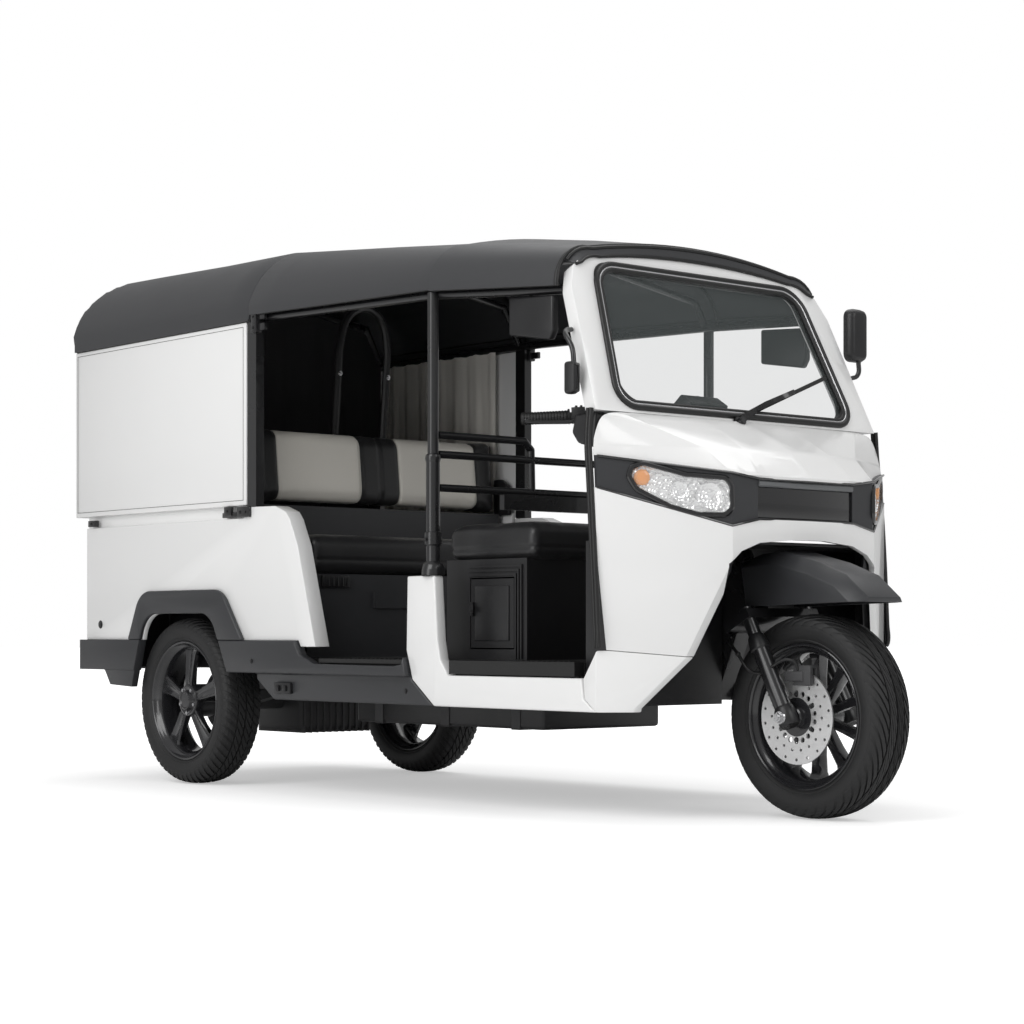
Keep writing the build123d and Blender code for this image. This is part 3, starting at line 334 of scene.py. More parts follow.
SIDEWALL = [
    (0.0545, 0.1900), (0.0595, 0.1935), (0.0620, 0.1980), (0.0655, 0.2000), (0.0672, 0.2032),
    (0.0662, 0.2062), (0.0692, 0.2100), (0.0725, 0.2180), (0.0744, 0.2280), (0.0746, 0.2360),
    (0.0732, 0.2430), (0.0722, 0.2436), (0.0716, 0.2460), (0.0680, 0.2530), (0.0600, 0.2600),
    (0.0500, 0.2640), (0.0360, 0.2670), (0.0180, 0.2686), (0.0, 0.2690),
]
SHOULDER_LUG = [
    (0.0310, 0.2640, 0.2722),
    (0.0430, 0.2620, 0.2702),
    (0.0540, 0.2590, 0.2668),
    (0.0640, 0.2530, 0.2602),
    (0.0705, 0.2450, 0.2510),
    (0.0742, 0.2330, 0.2390),
]
CROWN_LUG = [(0.0025, 0.2650, 0.2740), (0.0140, 0.2648, 0.2737), (0.0270, 0.2640, 0.2728)]


def tread_block(form, stations, side, start, width, lean):
    """One tread block across the tyre, between two angles that shift as it runs outwards."""
    outlines = []
    for across, low, high in stations:
        turn = start + lean * (across - stations[0][0])
        ends = [(low, turn), (high, turn + 0.004), (high, turn + width - 0.004), (low, turn + width)]
        outlines.append([(r * math.sin(a), side * across, r * math.cos(a)) for r, a in ends])
    first = len(form.faces)
    carried(form, outlines)
    form.faces.ensure_lookup_table()
    return form.faces[first:]


def tyre(name, node, body, place, pitches, lean, lug_share):
    """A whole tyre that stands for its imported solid."""
    form = bmesh.new()
    turned(form, SIDEWALL + [(-across, radius) for across, radius in reversed(SIDEWALL[:-1])], 96)
    pitch = math.tau / pitches
    blocks = []
    for side in (-1, 1):
        shift = 0.5 * pitch * (side + 1) / 2
        blocks += tread_block(form, SHOULDER_LUG, side, shift, pitch * lug_share, lean * side)
        blocks += tread_block(form, CROWN_LUG, side, shift + 0.3 * pitch, pitch * 0.84, lean * side * 2.0)
    repeated(form, blocks, pitches)
    piece(name, finished_mesh(name, form, place, crease=40), tyre_rubber, body, [node])


def rear_wheel_place(side):
    """The middle of a rear wheel."""
    return REAR_AXLE + Vector((0, side * REAR_WHEEL_Y, 0))


tyre("front_tyre_treaded", "front_tyre", "front_wheel", FRONT_AXLE, 44, 9.0, 0.72)
for name, side in SIDES:
    ends = f"rear_tyre_{name}_treaded", f"rear_tyre_{name}", f"rear_wheel_{name}"
    tyre(*ends, rear_wheel_place(side), 60, 3.0, 0.66)

# Wheels: cast alloy painted gloss black, with a rolled lip at the tyre's bead. The rear ones have
# five wide spokes, a hub cap and five bolts each, and the front one has ten narrow spokes.
dark_alloy = surface("dark_alloy", (0.018, 0.018, 0.020), 0.22, grain=0.05, mottle=0.1, Coat_Weight=0.6)
bright_steel = surface("bright_steel", (0.62, 0.62, 0.63), 0.25, 0.1, 300, mottle=0.06, metallic=1.0)
BARREL = [
    (0.0635, 0.1960), (0.0650, 0.1935), (0.0640, 0.1905), (0.0610, 0.1880), (0.0570, 0.1862),
    (0.0520, 0.1800), (0.0470, 0.1745), (0.0400, 0.1700), (0.0, 0.1680),
]


def spoke_outline(radius, half_width, outer, inner):
    """A spoke's section at one radius: a flat back and a crowned, grooved front."""
    step = 0.25 * (outer - inner)
    return [
        (-half_width, inner, radius),
        (-half_width, outer - step, radius),
        (-half_width * 0.72, outer, radius),
        (-half_width * 0.30, outer - step * 0.8, radius),
        (half_width * 0.30, outer - step * 0.8, radius),
        (half_width * 0.72, outer, radius),
        (half_width, outer - step, radius),
        (half_width, inner, radius),
    ]


def wheel(name, node, body, place, side, spokes, stations, hub, hub_back):
    """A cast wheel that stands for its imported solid. Places across grow towards its outer face."""
    form = bmesh.new()
    barrel = BARREL + [(-across, radius) for across, radius in reversed(BARREL[:-1])]
    turned(form, barrel + [(-0.0545, 0.1895), (0.0545, 0.1895)], 96)
    before = len(form.faces)
    carried(form, [spoke_outline(*station) for station in stations])
    form.faces.ensure_lookup_table()
    spoke_edges = of_kind(parts_of(form.faces[before:]), bmesh.types.BMEdge)
    rounded(form, sharp_edges(spoke_edges, 30), 0.0016, clamped=True)
    form.faces.ensure_lookup_table()
    repeated(form, form.faces[before:], spokes)
    turned(form, hub + [(hub_back, hub[-1][1]), (hub_back, hub[0][1])], 48)
    bmesh.ops.remove_doubles(form, verts=form.verts, dist=0.00001)
    bmesh.ops.scale(form, verts=form.verts, vec=(1, side, 1))
    piece(name, finished_mesh(name, form, place), dark_alloy, body, [node])


REAR_SPOKE = [
    (0.036, 0.0165, 0.046, 0.022),
    (0.060, 0.0185, 0.049, 0.024),
    (0.110, 0.0235, 0.045, 0.024),
    (0.150, 0.0290, 0.042, 0.020),
    (0.171, 0.0360, 0.040, 0.012),
]
REAR_HUB = [
    (0.030, 0.054), (0.045, 0.053), (0.049, 0.050), (0.050, 0.045), (0.048, 0.042), (0.047, 0.036),
    (0.053, 0.033), (0.0595, 0.030), (0.061, 0.026), (0.058, 0.022), (0.0585, 0.0),
]
FRONT_SPOKE = [
    (0.030, 0.0095, 0.030, -0.016),
    (0.050, 0.0100, 0.030, -0.014),
    (0.105, 0.0115, 0.027, -0.012),
    (0.150, 0.0140, 0.028, -0.012),
    (0.171, 0.0190, 0.032, -0.016),
]
FRONT_HUB = [
    (0.020, 0.040), (0.052, 0.038), (0.058, 0.036), (0.060, 0.030), (0.072, 0.028), (0.0775, 0.026),
    (0.0785, 0.022), (0.0785, 0.0115),
]
for name, side in SIDES:
    ends = f"rear_wheel_{name}_cast", f"rear_rim_{name}", f"rear_wheel_{name}"
    wheel(*ends, rear_wheel_place(side), side, 5, REAR_SPOKE, REAR_HUB, -0.068)
wheel("front_wheel_cast", "front_rim", "front_wheel", FRONT_AXLE, 1, 10, FRONT_SPOKE, FRONT_HUB, -0.080)


def facing(axis):
    """The turn that lays an upright form along an axis."""
    return Vector((0, 0, 1)).rotation_difference(Vector(axis)).to_matrix().to_4x4()


def drum(form, stand, radius, far_radius, depth, corners):
    """A round or many-sided block, centred on its stand, with a radius at each end."""
    bmesh.ops.create_cone(
        form, cap_ends=True, segments=corners, radius1=radius, radius2=far_radius, depth=depth, matrix=stand
    )


def bolt_head(form, place, axis, radius, height):
    """A domed hexagonal bolt head with its washer, standing along an axis."""
    stand = Matrix.Translation(place) @ facing(axis)
    for sides, wide, low, high in ((20, 1.3, 0, 0.25), (6, 1.0, 0.25, 0.85), (12, 0.55, 0.85, 1.05)):
        shift = Matrix.Translation((0, 0, (low + high) / 2 * height))
        drum(form, stand @ shift, radius * wide, radius * wide * 0.93, (high - low) * height, sides)


BOLT_CIRCLE = 0.041
for name, side in SIDES:
    form = bmesh.new()
    for bolt in range(5):
        turn = math.tau * (bolt + 0.5) / 5
        place = (BOLT_CIRCLE * math.sin(turn), side * 0.046, BOLT_CIRCLE * math.cos(turn))
        bolt_head(form, place, (0, side, 0), 0.0065, 0.008)
    mesh = finished_mesh(f"wheel_bolts_{name}", form, rear_wheel_place(side))
    piece(f"wheel_bolts_{name}", mesh, bright_steel, f"rear_wheel_{name}")

# Front brake disc: bare steel with three rings of drilled holes, bolted to the right of the hub.
# Each row of DISC_RINGS is a ring's two radii, its holes' radius and how far they are turned.
disc_steel = surface("disc_steel", (0.78, 0.78, 0.78), 0.32, 0.35, 240, mottle=0.12, metallic=0.85)
DISC_LOW_Y, DISC_HIGH_Y = -0.086, -0.081
HOLES_ROUND = 18
DISC_RINGS = ((0.052, 0.076, 0.0075, 0.0), (0.076, 0.101, 0.0042, 0.5), (0.101, 0.1265, 0.0042, 0.0))
half = math.tau / HOLES_ROUND / 2
form = bmesh.new()
for inner, outer, hole_r, shift in DISC_RINGS:
    middle = (inner + outer) / 2
    rim = [(outer, half * f) for f in (-1, -0.5, 0, 0.5, 1)] + [(middle, half)]
    rim += [(inner, half * f) for f in (1, 0.5, 0, -0.5, -1)] + [(middle, -half)]
    turn = 2 * half * shift
    border = [(r * math.sin(a + turn), DISC_LOW_Y, r * math.cos(a + turn)) for r, a in rim]
    aims = [math.atan2(r * math.cos(a) - middle, r * math.sin(a)) for r, a in rim]
    spots = [Vector((hole_r * math.cos(a), DISC_LOW_Y, middle + hole_r * math.sin(a))) for a in aims]
    hole = [Matrix.Rotation(turn, 3, "Y") @ spot for spot in spots]
    edges = closed_loop(form, border)[1] + closed_loop(form, hole)[1]
    repeated(form, bmesh.ops.bridge_loops(form, edges=edges)["faces"], HOLES_ROUND)
bmesh.ops.remove_doubles(form, verts=form.verts, dist=0.00005)
grown = bmesh.ops.extrude_face_region(form, geom=form.faces[:])["geom"]
raised = of_kind(grown, bmesh.types.BMVert)
bmesh.ops.translate(form, verts=raised, vec=(0, DISC_HIGH_Y - DISC_LOW_Y, 0))
mesh = finished_mesh("brake_disc_drilled", form, FRONT_AXLE)
piece("brake_disc_drilled", mesh, disc_steel, "front_wheel", ["brake_disc"])
DISC_BOLT_CIRCLE = 0.060
form = bmesh.new()
for bolt in range(6):
    turn = math.tau * bolt / 6
    place = (DISC_BOLT_CIRCLE * math.sin(turn), -0.0862, DISC_BOLT_CIRCLE * math.cos(turn))
    bolt_head(form, place, (0, -1, 0), 0.0055, 0.006)
turned(form, [(-0.0865, 0.024), (-0.0865, 0.052), (-0.0800, 0.052), (-0.0800, 0.024)], 48)
turned(form, [(-0.0990, 0.0105), (-0.0990, 0.022), (-0.0960, 0.026), (-0.0865, 0.028), (-0.0865, 0.0105)], 40)
mesh = finished_mesh("brake_disc_carrier", form, FRONT_AXLE)
piece("brake_disc_carrier", mesh, dark_alloy, "front_wheel")

# Roof: one vinyl skin, padded to 6 mm, stretched over the bows from the tail to the windshield. It
# is sewn from three widths, so it steps a little at each post. Each row of ROOF_STATIONS is a
# section: where it stands, its half width, lower edge and side bead, then side, shoulder and crown.
ROOF_STATIONS = [
    (-1.6000, 0.575, 1.474, 1.5280, (0.522, 1.6320), (0.400, 1.7220), 1.7500),
    (-1.3060, 0.575, 1.474, 1.5264, (0.522, 1.6282), (0.400, 1.7160), 1.7465),
    (-0.9100, 0.575, 1.474, 1.5236, (0.521, 1.6215), (0.398, 1.7060), 1.7340),
    (-0.5300, 0.575, 1.474, 1.5222, (0.522, 1.6185), (0.400, 1.7004), 1.7322),
    (-0.5240, 0.573, 1.480, 1.5215, (0.519, 1.6160), (0.398, 1.6975), 1.7295),
    (-0.5180, 0.575, 1.492, 1.5220, (0.522, 1.6178), (0.400, 1.6998), 1.7318),
    (-0.1000, 0.575, 1.480, 1.5050, (0.530, 1.5880), (0.418, 1.6560), 1.6960),
    (0.3650, 0.575, 1.468, 1.4868, (0.542, 1.5500), (0.440, 1.6010), 1.6535),
    (0.3840, 0.574, 1.467, 1.4860, (0.541, 1.5470), (0.439, 1.5985), 1.6505),
    (0.3870, 0.578, 1.464, 1.4890, (0.545, 1.5530), (0.442, 1.6050), 1.6580),
    (0.6200, 0.546, 1.448, 1.4675, (0.520, 1.5280), (0.422, 1.5775), 1.6230),
    (0.8520, 0.514, 1.432, 1.4460, (0.494, 1.5020), (0.400, 1.5460), 1.5820),
]
TAIL_R, TAIL_X = 0.130, -1.470
TAIL_TOP_Z = 1.752 - TAIL_R
TAIL_MIDDLE_Z, TAIL_FOOT_Z = 1.60, 1.474
ROOF_THICKNESS = 0.006


def arc_through(start, middle, end, steps):
    """Points on the circle through three points of a section, from start to before end."""
    (ax, ay), (bx, by), (cx, cy) = start, middle, end
    turn = 2 * (ax * (by - cy) + bx * (cy - ay) + cx * (ay - by))
    a, b, c = ax * ax + ay * ay, bx * bx + by * by, cx * cx + cy * cy
    centre = Vector(((a * (by - cy) + b * (cy - ay) + c * (ay - by)) / turn, 0))
    centre.y = (a * (cx - bx) + b * (ax - cx) + c * (bx - ax)) / turn
    first, last = Vector(start) - centre, Vector(end) - centre
    angle = first.angle_signed(last)
    return [centre + Matrix.Rotation(-angle * i / steps, 2) @ first for i in range(steps)]


def roof_section(station):
    """One section of the skin, from the right lower edge over the crown to the left one."""
    x, half, low, pipe_z, way, shoulder, crown = station
    left = [Vector((half, low)), Vector((half, (low + pipe_z) / 2))]
    left += arc_through((half, pipe_z), way, shoulder, 8)
    left += arc_through(shoulder, (0, crown), (-shoulder[0], shoulder[1]), 16)[:8]
    right = [Vector((-p.x, p.y)) for p in left]
    return right + [Vector((0, crown))] + left[::-1]


def roof_at(x):
    """The skin's section at a place between two stations, flattened where the tail rounds down."""
    before = max((s for s in ROOF_STATIONS if s[0] <= x), key=lambda s: s[0])
    after = min((s for s in ROOF_STATIONS if s[0] >= x), key=lambda s: s[0])
    share = 0 if before is after else (x - before[0]) / (after[0] - before[0])
    section = [a.lerp(b, share) for a, b in zip(roof_section(before), roof_section(after))]
    if x < TAIL_X:
        top = TAIL_TOP_Z + math.sqrt(max(0, TAIL_R**2 - (TAIL_X - x) ** 2))
        section = [Vector((p.x, min(p.y, top))) for p in section]
    return [Vector((x, p.x, p.y)) for p in section]


places = [TAIL_X - TAIL_R * math.sin(math.radians(a)) for a in (90, 82, 70, 58, 46, 34, 22, 11, 0)]
places += [-1.40, -1.306, -1.20, -1.05, -0.91, -0.78, -0.65, -0.53, -0.524, -0.518, -0.40, -0.25, -0.10]
places += [0.05, 0.20, 0.32, 0.365, 0.384, 0.387, 0.45, 0.53, 0.62, 0.70, 0.78, 0.852]
form = bmesh.new()
row = [form.verts.new(spot) for spot in roof_at(places[0])]
edges = [form.edges.new(pair) for pair in zip(row, row[1:])]
tail_edges = [e for e in edges if min(v.co.z for v in e.verts) > ROOF_STATIONS[0][3] - 0.001]
for before, after in zip(places, places[1:]):
    grown = bmesh.ops.extrude_edge_only(form, edges=edges)["geom"]
    old, new = roof_at(before), roof_at(after)
    for vert in of_kind(grown, bmesh.types.BMVert):
        vert.co = new[min(range(len(old)), key=lambda i: (vert.co - old[i]).length)]
    edges = [e for e in of_kind(grown, bmesh.types.BMEdge) if all(abs(v.co.x - after) < 1e-6 for v in e.verts)]
for foot in (TAIL_MIDDLE_Z, TAIL_FOOT_Z):
    grown = bmesh.ops.extrude_edge_only(form, edges=tail_edges)["geom"]
    for vert in of_kind(grown, bmesh.types.BMVert):
        vert.co.z = min(vert.co.z, foot)
    tail_edges = of_kind(grown, bmesh.types.BMEdge)
    tail_edges = [e for e in tail_edges if all(v.co.z < TAIL_MIDDLE_Z + 1e-6 for v in e.verts)]
    tail_edges = [e for e in tail_edges if all(len(v.link_edges) <= 3 for v in e.verts)]
bmesh.ops.remove_doubles(form, verts=form.verts, dist=0.0004)
bmesh.ops.dissolve_degenerate(form, edges=form.edges, dist=0.0001)
bmesh.ops.recalc_face_normals(form, faces=form.faces)
roof_area = sum(face.calc_area() for face in form.faces)
bmesh.ops.solidify(form, geom=form.faces[:], thickness=-ROOF_THICKNESS)
covered = ["roof_rear", "roof_mid", "roof_front"]
roof_skin = piece("roof_skin", form, roof_vinyl, "cab", covered, crease=50)


# Roof beads: round rubber cord sewn into the skin's seams, along both sides and the tail, down
# over the crown at each post, and along the windshield, where it is doubled.
def pipe_mesh(points, radius, closed=False, smooth=False, rings=3):
    """The mesh of a round bar, bead or hose through some points."""
    curve = bpy.data.curves.new("line", "CURVE")
    curve.dimensions = "3D"
    curve.bevel_depth = radius
    curve.bevel_resolution = rings
    curve.use_fill_caps = not closed
    spline = curve.splines.new("BEZIER" if smooth else "POLY")
    if smooth:
        spline.bezier_points.add(len(points) - 1)
        for knot, spot in zip(spline.bezier_points, points):
            knot.co = spot
            knot.handle_left_type = knot.handle_right_type = "AUTO"
        spline.resolution_u = 8
    else:
        spline.points.add(len(points) - 1)
        for knot, spot in zip(spline.points, points):
            knot.co = (*spot, 1)
    spline.use_cyclic_u = closed
    holder = bpy.data.objects.new("line", curve)
    mesh = bpy.data.meshes.new_from_object(holder)
    bpy.data.objects.remove(holder)
    bpy.data.curves.remove(curve)
    return mesh


def line_piece(name, lines, material, body):
    """Puts some bars, beads or hoses into the scene as one piece."""
    form = bmesh.new()
    for mesh in lines:
        form.from_mesh(mesh)
        bpy.data.meshes.remove(mesh)
    return piece(name, form, material, body, crease=40)


def both_sides(points):
    """A line and its mirror image on the other side of the vehicle."""
    return [points, [(x, -y, z) for x, y, z in points]]


rubber = surface("rubber", (0.008, 0.008, 0.008), 0.4, grain=0.15, grain_scale=800, mottle=0.1)
TAIL_BEAD_X = -1.5935
side_line = [(s[0], s[1] + 0.001, s[3]) for s in ROOF_STATIONS]
side_line[0] = (TAIL_BEAD_X, *side_line[0][1:])
low_line = [(s[0], s[1] - 0.003, s[2] + 0.002) for s in ROOF_STATIONS]
low_line[0] = (TAIL_BEAD_X, 0.571, 1.476)
beads = [pipe_mesh(points, 0.0032) for points in both_sides(side_line)]
beads += [pipe_mesh(points, 0.0045) for points in both_sides(low_line)]
beads.append(pipe_mesh([(TAIL_BEAD_X, y, 1.4765) for y in (-0.571, 0.571)], 0.0045))
for x, radius in ((-0.524, 0.0028), (0.3865, 0.0050), (0.848, 0.0070), (0.831, 0.0055)):
    beads.append(pipe_mesh([spot + Vector((0, 0, -0.0005)) for spot in roof_at(x)], radius))
line_piece("roof_beads", beads, rubber, "cab")

# Passenger bench: foam pads under sewn vinyl, black with two pale panels in the back. The foam
# swells between the seams, which are pulled in over a pale welt.
seat_black = surface("seat_black", (0.014, 0.014, 0.015), 0.34, 0.3, 600, mottle=0.1, Sheen_Weight=0.05)
PALE_VINYL = (0.82, 0.79, 0.72, 1)
STRIPE_MIDDLE_Y, STRIPE_HALF_WIDTH = 0.2455, 0.1655
SWELL_STEPS = 20


def striped_vinyl(name):
    """Black seat vinyl with a pale panel on each side of the middle."""
    made = seat_black.copy()
    made.name = name
    tree = made.node_tree
    place = next(n for n in tree.nodes if n.type == "TEX_COORD")
    last = added(tree, "SeparateXYZ", {0: place.outputs["Object"]}).outputs["Y"]
    for operation, value in (
        ("ABSOLUTE", 0),
        ("SUBTRACT", STRIPE_MIDDLE_Y),
        ("ABSOLUTE", 0),
        ("LESS_THAN", STRIPE_HALF_WIDTH),
    ):
        last = added(tree, "Math", {0: last, 1: value}, operation=operation).outputs[0]
    base = tree.nodes["Principled BSDF"].inputs["Base Color"]
    sockets = {"A": base.links[0].from_socket, "B": PALE_VINYL, "Factor": last}
    stripes = added(tree, "Mix", sockets, data_type="RGBA")
    tree.links.new(stripes.outputs["Result"], base)
    return made


def stuffed(name, form, voxel, cap, material, node, seams):
    """A pad swollen from a slack form by cloth simulation, with its seams pulled in after it.

    Each seam is a function of a place that gives how deep the seam pulls there, and cap is how
    far the swelling may move any point.
    """
    pad = bpy.data.objects.new(name, finished_mesh(name, form))
    scene.collection.objects.link(pad)
    shape = pad.modifiers.new("even", "REMESH")
    shape.mode = "VOXEL"
    shape.voxel_size = voxel
    shape.adaptivity = 0
    depsgraph = bpy.context.evaluated_depsgraph_get()
    even = bpy.data.meshes.new_from_object(pad.evaluated_get(depsgraph))
    pad.modifiers.clear()
    pad.data = even
    rest = [v.co.copy() for v in even.vertices]
    cloth = pad.modifiers.new("swell", "CLOTH")
    cloth.settings.use_pressure = True
    cloth.settings.uniform_pressure_force = 4
    cloth.settings.quality = 4
    cloth.settings.effector_weights.gravity = 0
    cloth.point_cache.frame_start = 1
    cloth.point_cache.frame_end = SWELL_STEPS
    for step in range(1, SWELL_STEPS + 1):
        scene.frame_set(step)
    depsgraph = bpy.context.evaluated_depsgraph_get()
    swollen = bpy.data.meshes.new_from_object(pad.evaluated_get(depsgraph))
    pad.modifiers.clear()
    scene.frame_set(1)
    for vert, grown, start in zip(even.vertices, swollen.vertices, rest):
        move = grown.co - start
        vert.co = start + move * min(1, cap / max(move.length, 1e-9))
    bpy.data.meshes.remove(swollen)
    form = bmesh.new()
    form.from_mesh(even)
    for _ in range(4):
        bmesh.ops.smooth_vert(
            form, verts=form.verts, factor=0.5, use_axis_x=True, use_axis_y=True, use_axis_z=True
        )
    form.normal_update()
    pulls = [(vert, sum(seam(vert.co) for seam in seams)) for vert in form.verts]
    for vert, depth in pulls:
        vert.co -= vert.normal * depth
    bmesh.ops.subdivide_edges(form, edges=form.edges, cuts=1, use_grid_fill=True, smooth=0.6)
    for face in form.faces:
        face.smooth = True
    form.to_mesh(even)
    form.free()
    bpy.data.objects.remove(pad)
    even.name = name
    even.materials.clear()
    made = piece(name, even, material, "cab", [node])
    return made


def block_form(low, high, rounding):
    """A slack pad's form: a block with its edges rounded over."""
    form = bmesh.new()
    bmesh.ops.create_cube(form, size=1)
    bmesh.ops.scale(form, vec=Vector(high) - Vector(low), verts=form.verts)
    bmesh.ops.translate(form, vec=(Vector(low) + Vector(high)) / 2, verts=form.verts)
    rounded(form, form.edges[:], rounding, 3)
    return form


def seam_at(axis, place, depth, width):
    """A seam across one axis that pulls the surface in by depth over a width."""
    return lambda spot: depth * math.exp(-(((spot[axis] - place) / width) ** 2))


BACK_LEAN = 0.105
form = block_form((-0.697, -0.511, 0.914), (-0.600, 0.511, 1.160), 0.020)
for vert in form.verts:
    vert.co.x -= (vert.co.z - 0.914) * BACK_LEAN
back_seams = [seam_at(1, y, 0.006, 0.006) for y in (-0.411, -0.080, 0.0, 0.080, 0.411)]
back_vinyl = striped_vinyl("striped_vinyl")
back = stuffed("bench_back_pad", form, 0.0085, 0.010, back_vinyl, "seat_back", back_seams)
form = block_form((-0.596, -0.511, 0.686), (-0.280, 0.511, 0.794), 0.024)
cushion_seams = [seam_at(2, 0.722, 0.004, 0.005), seam_at(0, -0.43, 0.004, 0.008)]
stuffed("bench_cushion_pad", form, 0.0090, 0.010, seat_black, "seat_cushion", cushion_seams)

# Driver's cushion: one thick black foam pad under sewn vinyl, over the storage box. The seam of
# its cover runs round its side.
form = block_form((0.298, -0.458, 0.707), (0.690, 0.458, 0.800), 0.026)
driver_seams = [seam_at(2, 0.735, 0.004, 0.005)]
stuffed("driver_cushion_pad", form, 0.0085, 0.010, seat_black, "driver_cushion", driver_seams)

# Welts: thin pale cord sewn into the four upright seams beside the pale panels of the bench's
# back. Each lies on the finished pad's surface.
pale_welt = surface("pale_welt", (0.62, 0.60, 0.55), 0.5, grain=0.2, mottle=0.05)


def skin_of(meshes):
    """The outside of some meshes, for finding places on it."""
    form = bmesh.new()
    for mesh in meshes:
        form.from_mesh(mesh)
    skin = mathutils.bvhtree.BVHTree.FromBMesh(form)
    form.free()
    return skin


def laid_on(pad, starts, direction, lift):
    """Points where lines along a direction first meet a pad, lifted off it a little."""
    skin = skin_of([pad.data])
    found = []
    for start in starts:
        spot, normal, _, _ = skin.ray_cast(Vector(start), Vector(direction))
        if spot is not None:
            found.append(spot + normal * lift)
    return found


lines = []
for y in (-0.411, -0.080, 0.080, 0.411):
    starts = [(-0.3, y, 0.915 + 0.0115 * i) for i in range(22)]
    lines.append(pipe_mesh(laid_on(back, starts, (-1, 0, 0), 0.0002), 0.0016, smooth=True, rings=2))
line_piece("bench_back_welts", lines, pale_welt, "cab")

# Bolsters: a small padded wing at each end of the bench, screwed to the inner wall.
form = bmesh.new()
wing = [(-0.640, 0.905), (-0.560, 0.905), (-0.552, 0.96), (-0.570, 1.01), (-0.600, 1.03), (-0.640, 1.03)]
for ends in ((-0.538, -0.522), (0.522, 0.538)):
    carried(form, [[(x, y, z) for x, z in wing] for y in ends])
bmesh.ops.recalc_face_normals(form, faces=form.faces)
rounded(form, form.edges[:], 0.005, 3)
piece("bench_bolsters", form, seat_black, "cab")

# Curtains: cloth hung on hooks from the frame round the luggage space, dark across the back and
# pale along both sides. Each is cut wider than its place, so it hangs in upright folds.
dark_cloth = surface("dark_cloth", (0.035, 0.035, 0.037), 0.8, grain=0.15, grain_scale=900, mottle=0.08)
CLOTH_THICKNESS = 0.0012


def curtain(name, low, high, across, depth, folds, material, flat, peak=None):
    """A hanging sheet between two corners, across one axis, with folds that soften upwards."""
    form = bmesh.new()
    bmesh.ops.create_grid(form, x_segments=folds * 12, y_segments=28, size=0.5)
    other = 1 - across
    low, high = Vector(low), Vector(high)
    for vert in form.verts:
        run, rise = vert.co.x + 0.5, vert.co.y + 0.5
        spot = Vector((0, 0, 0))
        spot[other] = low[other] + run * (high[other] - low[other])
        top = peak(spot[other]) if peak else high.z
        spot.z = low.z + rise * (top - low.z)
        wave = math.sin(math.tau * folds * run + 0.9 * math.sin(4.0 * run))
        wave += 0.35 * math.sin(math.tau * folds * 2.3 * run + 2.0 * rise)
        spot[across] = (low[across] + high[across]) / 2 + depth * wave * (1.0 - 0.72 * rise**2)
        vert.co = spot
    bmesh.ops.recalc_face_normals(form, faces=form.faces)
    cut = sum(face.calc_area() for face in form.faces)
    bmesh.ops.solidify(form, geom=form.faces[:], thickness=CLOTH_THICKNESS)
    made = piece(name, form, material, "cab", ["curtains"], crease=80)


def rear_peak(y):
    """The top edge of the rear curtain, which follows the bow that it hangs from."""
    y = abs(y)
    if y > 0.455:
        return 1.470 + (0.528 - y) / 0.073 * 0.126
    return 1.686 - y / 0.455 * 0.090


ends = (-1.291, -0.526, 0.872), (-1.287, 0.526, 1.686)
curtain("curtain_rear", *ends, 0, 0.0048, 9, dark_cloth, (1.09, 0.814), rear_peak)
for name, side in SIDES:
    low_y, high_y = sorted((side * 0.5315, side * 0.5325))
    ends = (-1.276, low_y, 0.918), (-0.640, high_y, 1.478)
    curtain(f"curtain_{name}", *ends, 1, 0.0062, 7, curtain_cloth, (0.663, 0.560))

# Roll bar of the bench: a steel hoop wrapped in black padding, with two bright studs, that
# stands on the luggage deck behind the seat back.
HOOP_HALF = 0.100


def arch(points):
    """A line to the middle of the vehicle, carried on in mirror image."""
    return points + [(x, -y, z) for x, y, z in reversed(points[:-1])]


hoop = [(-0.790, HOOP_HALF, 0.858), (-0.790, HOOP_HALF, 0.900), (-0.738, HOOP_HALF, 1.040)]
hoop += [(-0.722, HOOP_HALF, 1.180), (-0.705, HOOP_HALF, 1.360), (-0.695, 0.096, 1.470)]
hoop += [(-0.690, 0.072, 1.545), (-0.688, 0.036, 1.575), (-0.687, 0.0, 1.584)]
form = bmesh.new()
form.from_mesh(pipe_mesh(arch(hoop), 0.013, smooth=True))
piece("roll_hoop", form, seat_black, "cab")
form = bmesh.new()
for side in (-1, 1):
    bolt_head(form, (-0.692, side * HOOP_HALF, 1.360), (1, 0, 0), 0.007, 0.006)
    drum(form, Matrix.Translation((-0.790, side * HOOP_HALF, 0.861)), 0.026, 0.022, 0.006, 24)
piece("roll_hoop_studs", form, bright_steel, "cab")

# Headlamps: each has a deep black bezel, a bright crinkled reflector with two bowls, an amber
# turn lamp at its outer end, and a clear crowned lens. They sit in the slanting lamp band, and
# their sizes run along the nose's side, up, and out from it.
CORNER = Vector((1.071, -0.575, 0))
ALONG = Vector((0.210, 0.293, 0)).normalized()
OUT = Vector((0.293, -0.210, 0)).normalized()
LENS_OUTLINE = [
    (0.093, 0.906), (0.100, 0.926), (0.125, 0.934), (0.235, 0.905), (0.340, 0.897), (0.352, 0.880),
    (0.354, 0.826), (0.340, 0.812), (0.274, 0.812), (0.200, 0.832), (0.112, 0.876),
]
lens_glass = surface("lens_glass", (0.95, 0.96, 0.97), 0.04, mottle=0.01, Alpha=0.16, Coat_Weight=0.5)
reflector = surface("reflector", (0.92, 0.92, 0.92), 0.2, mottle=0.04, metallic=0.75)
tree = reflector.node_tree
place = tree.nodes["Texture Coordinate"].outputs["Object"]
facets = added(tree, "TexVoronoi", {"Scale": 95, "Vector": place})
dents = added(tree, "Bump", {"Strength": 0.9, "Distance": 0.004, "Height": facets.outputs["Distance"]})
tree.links.new(dents.outputs["Normal"], tree.nodes["Principled BSDF"].inputs["Normal"])
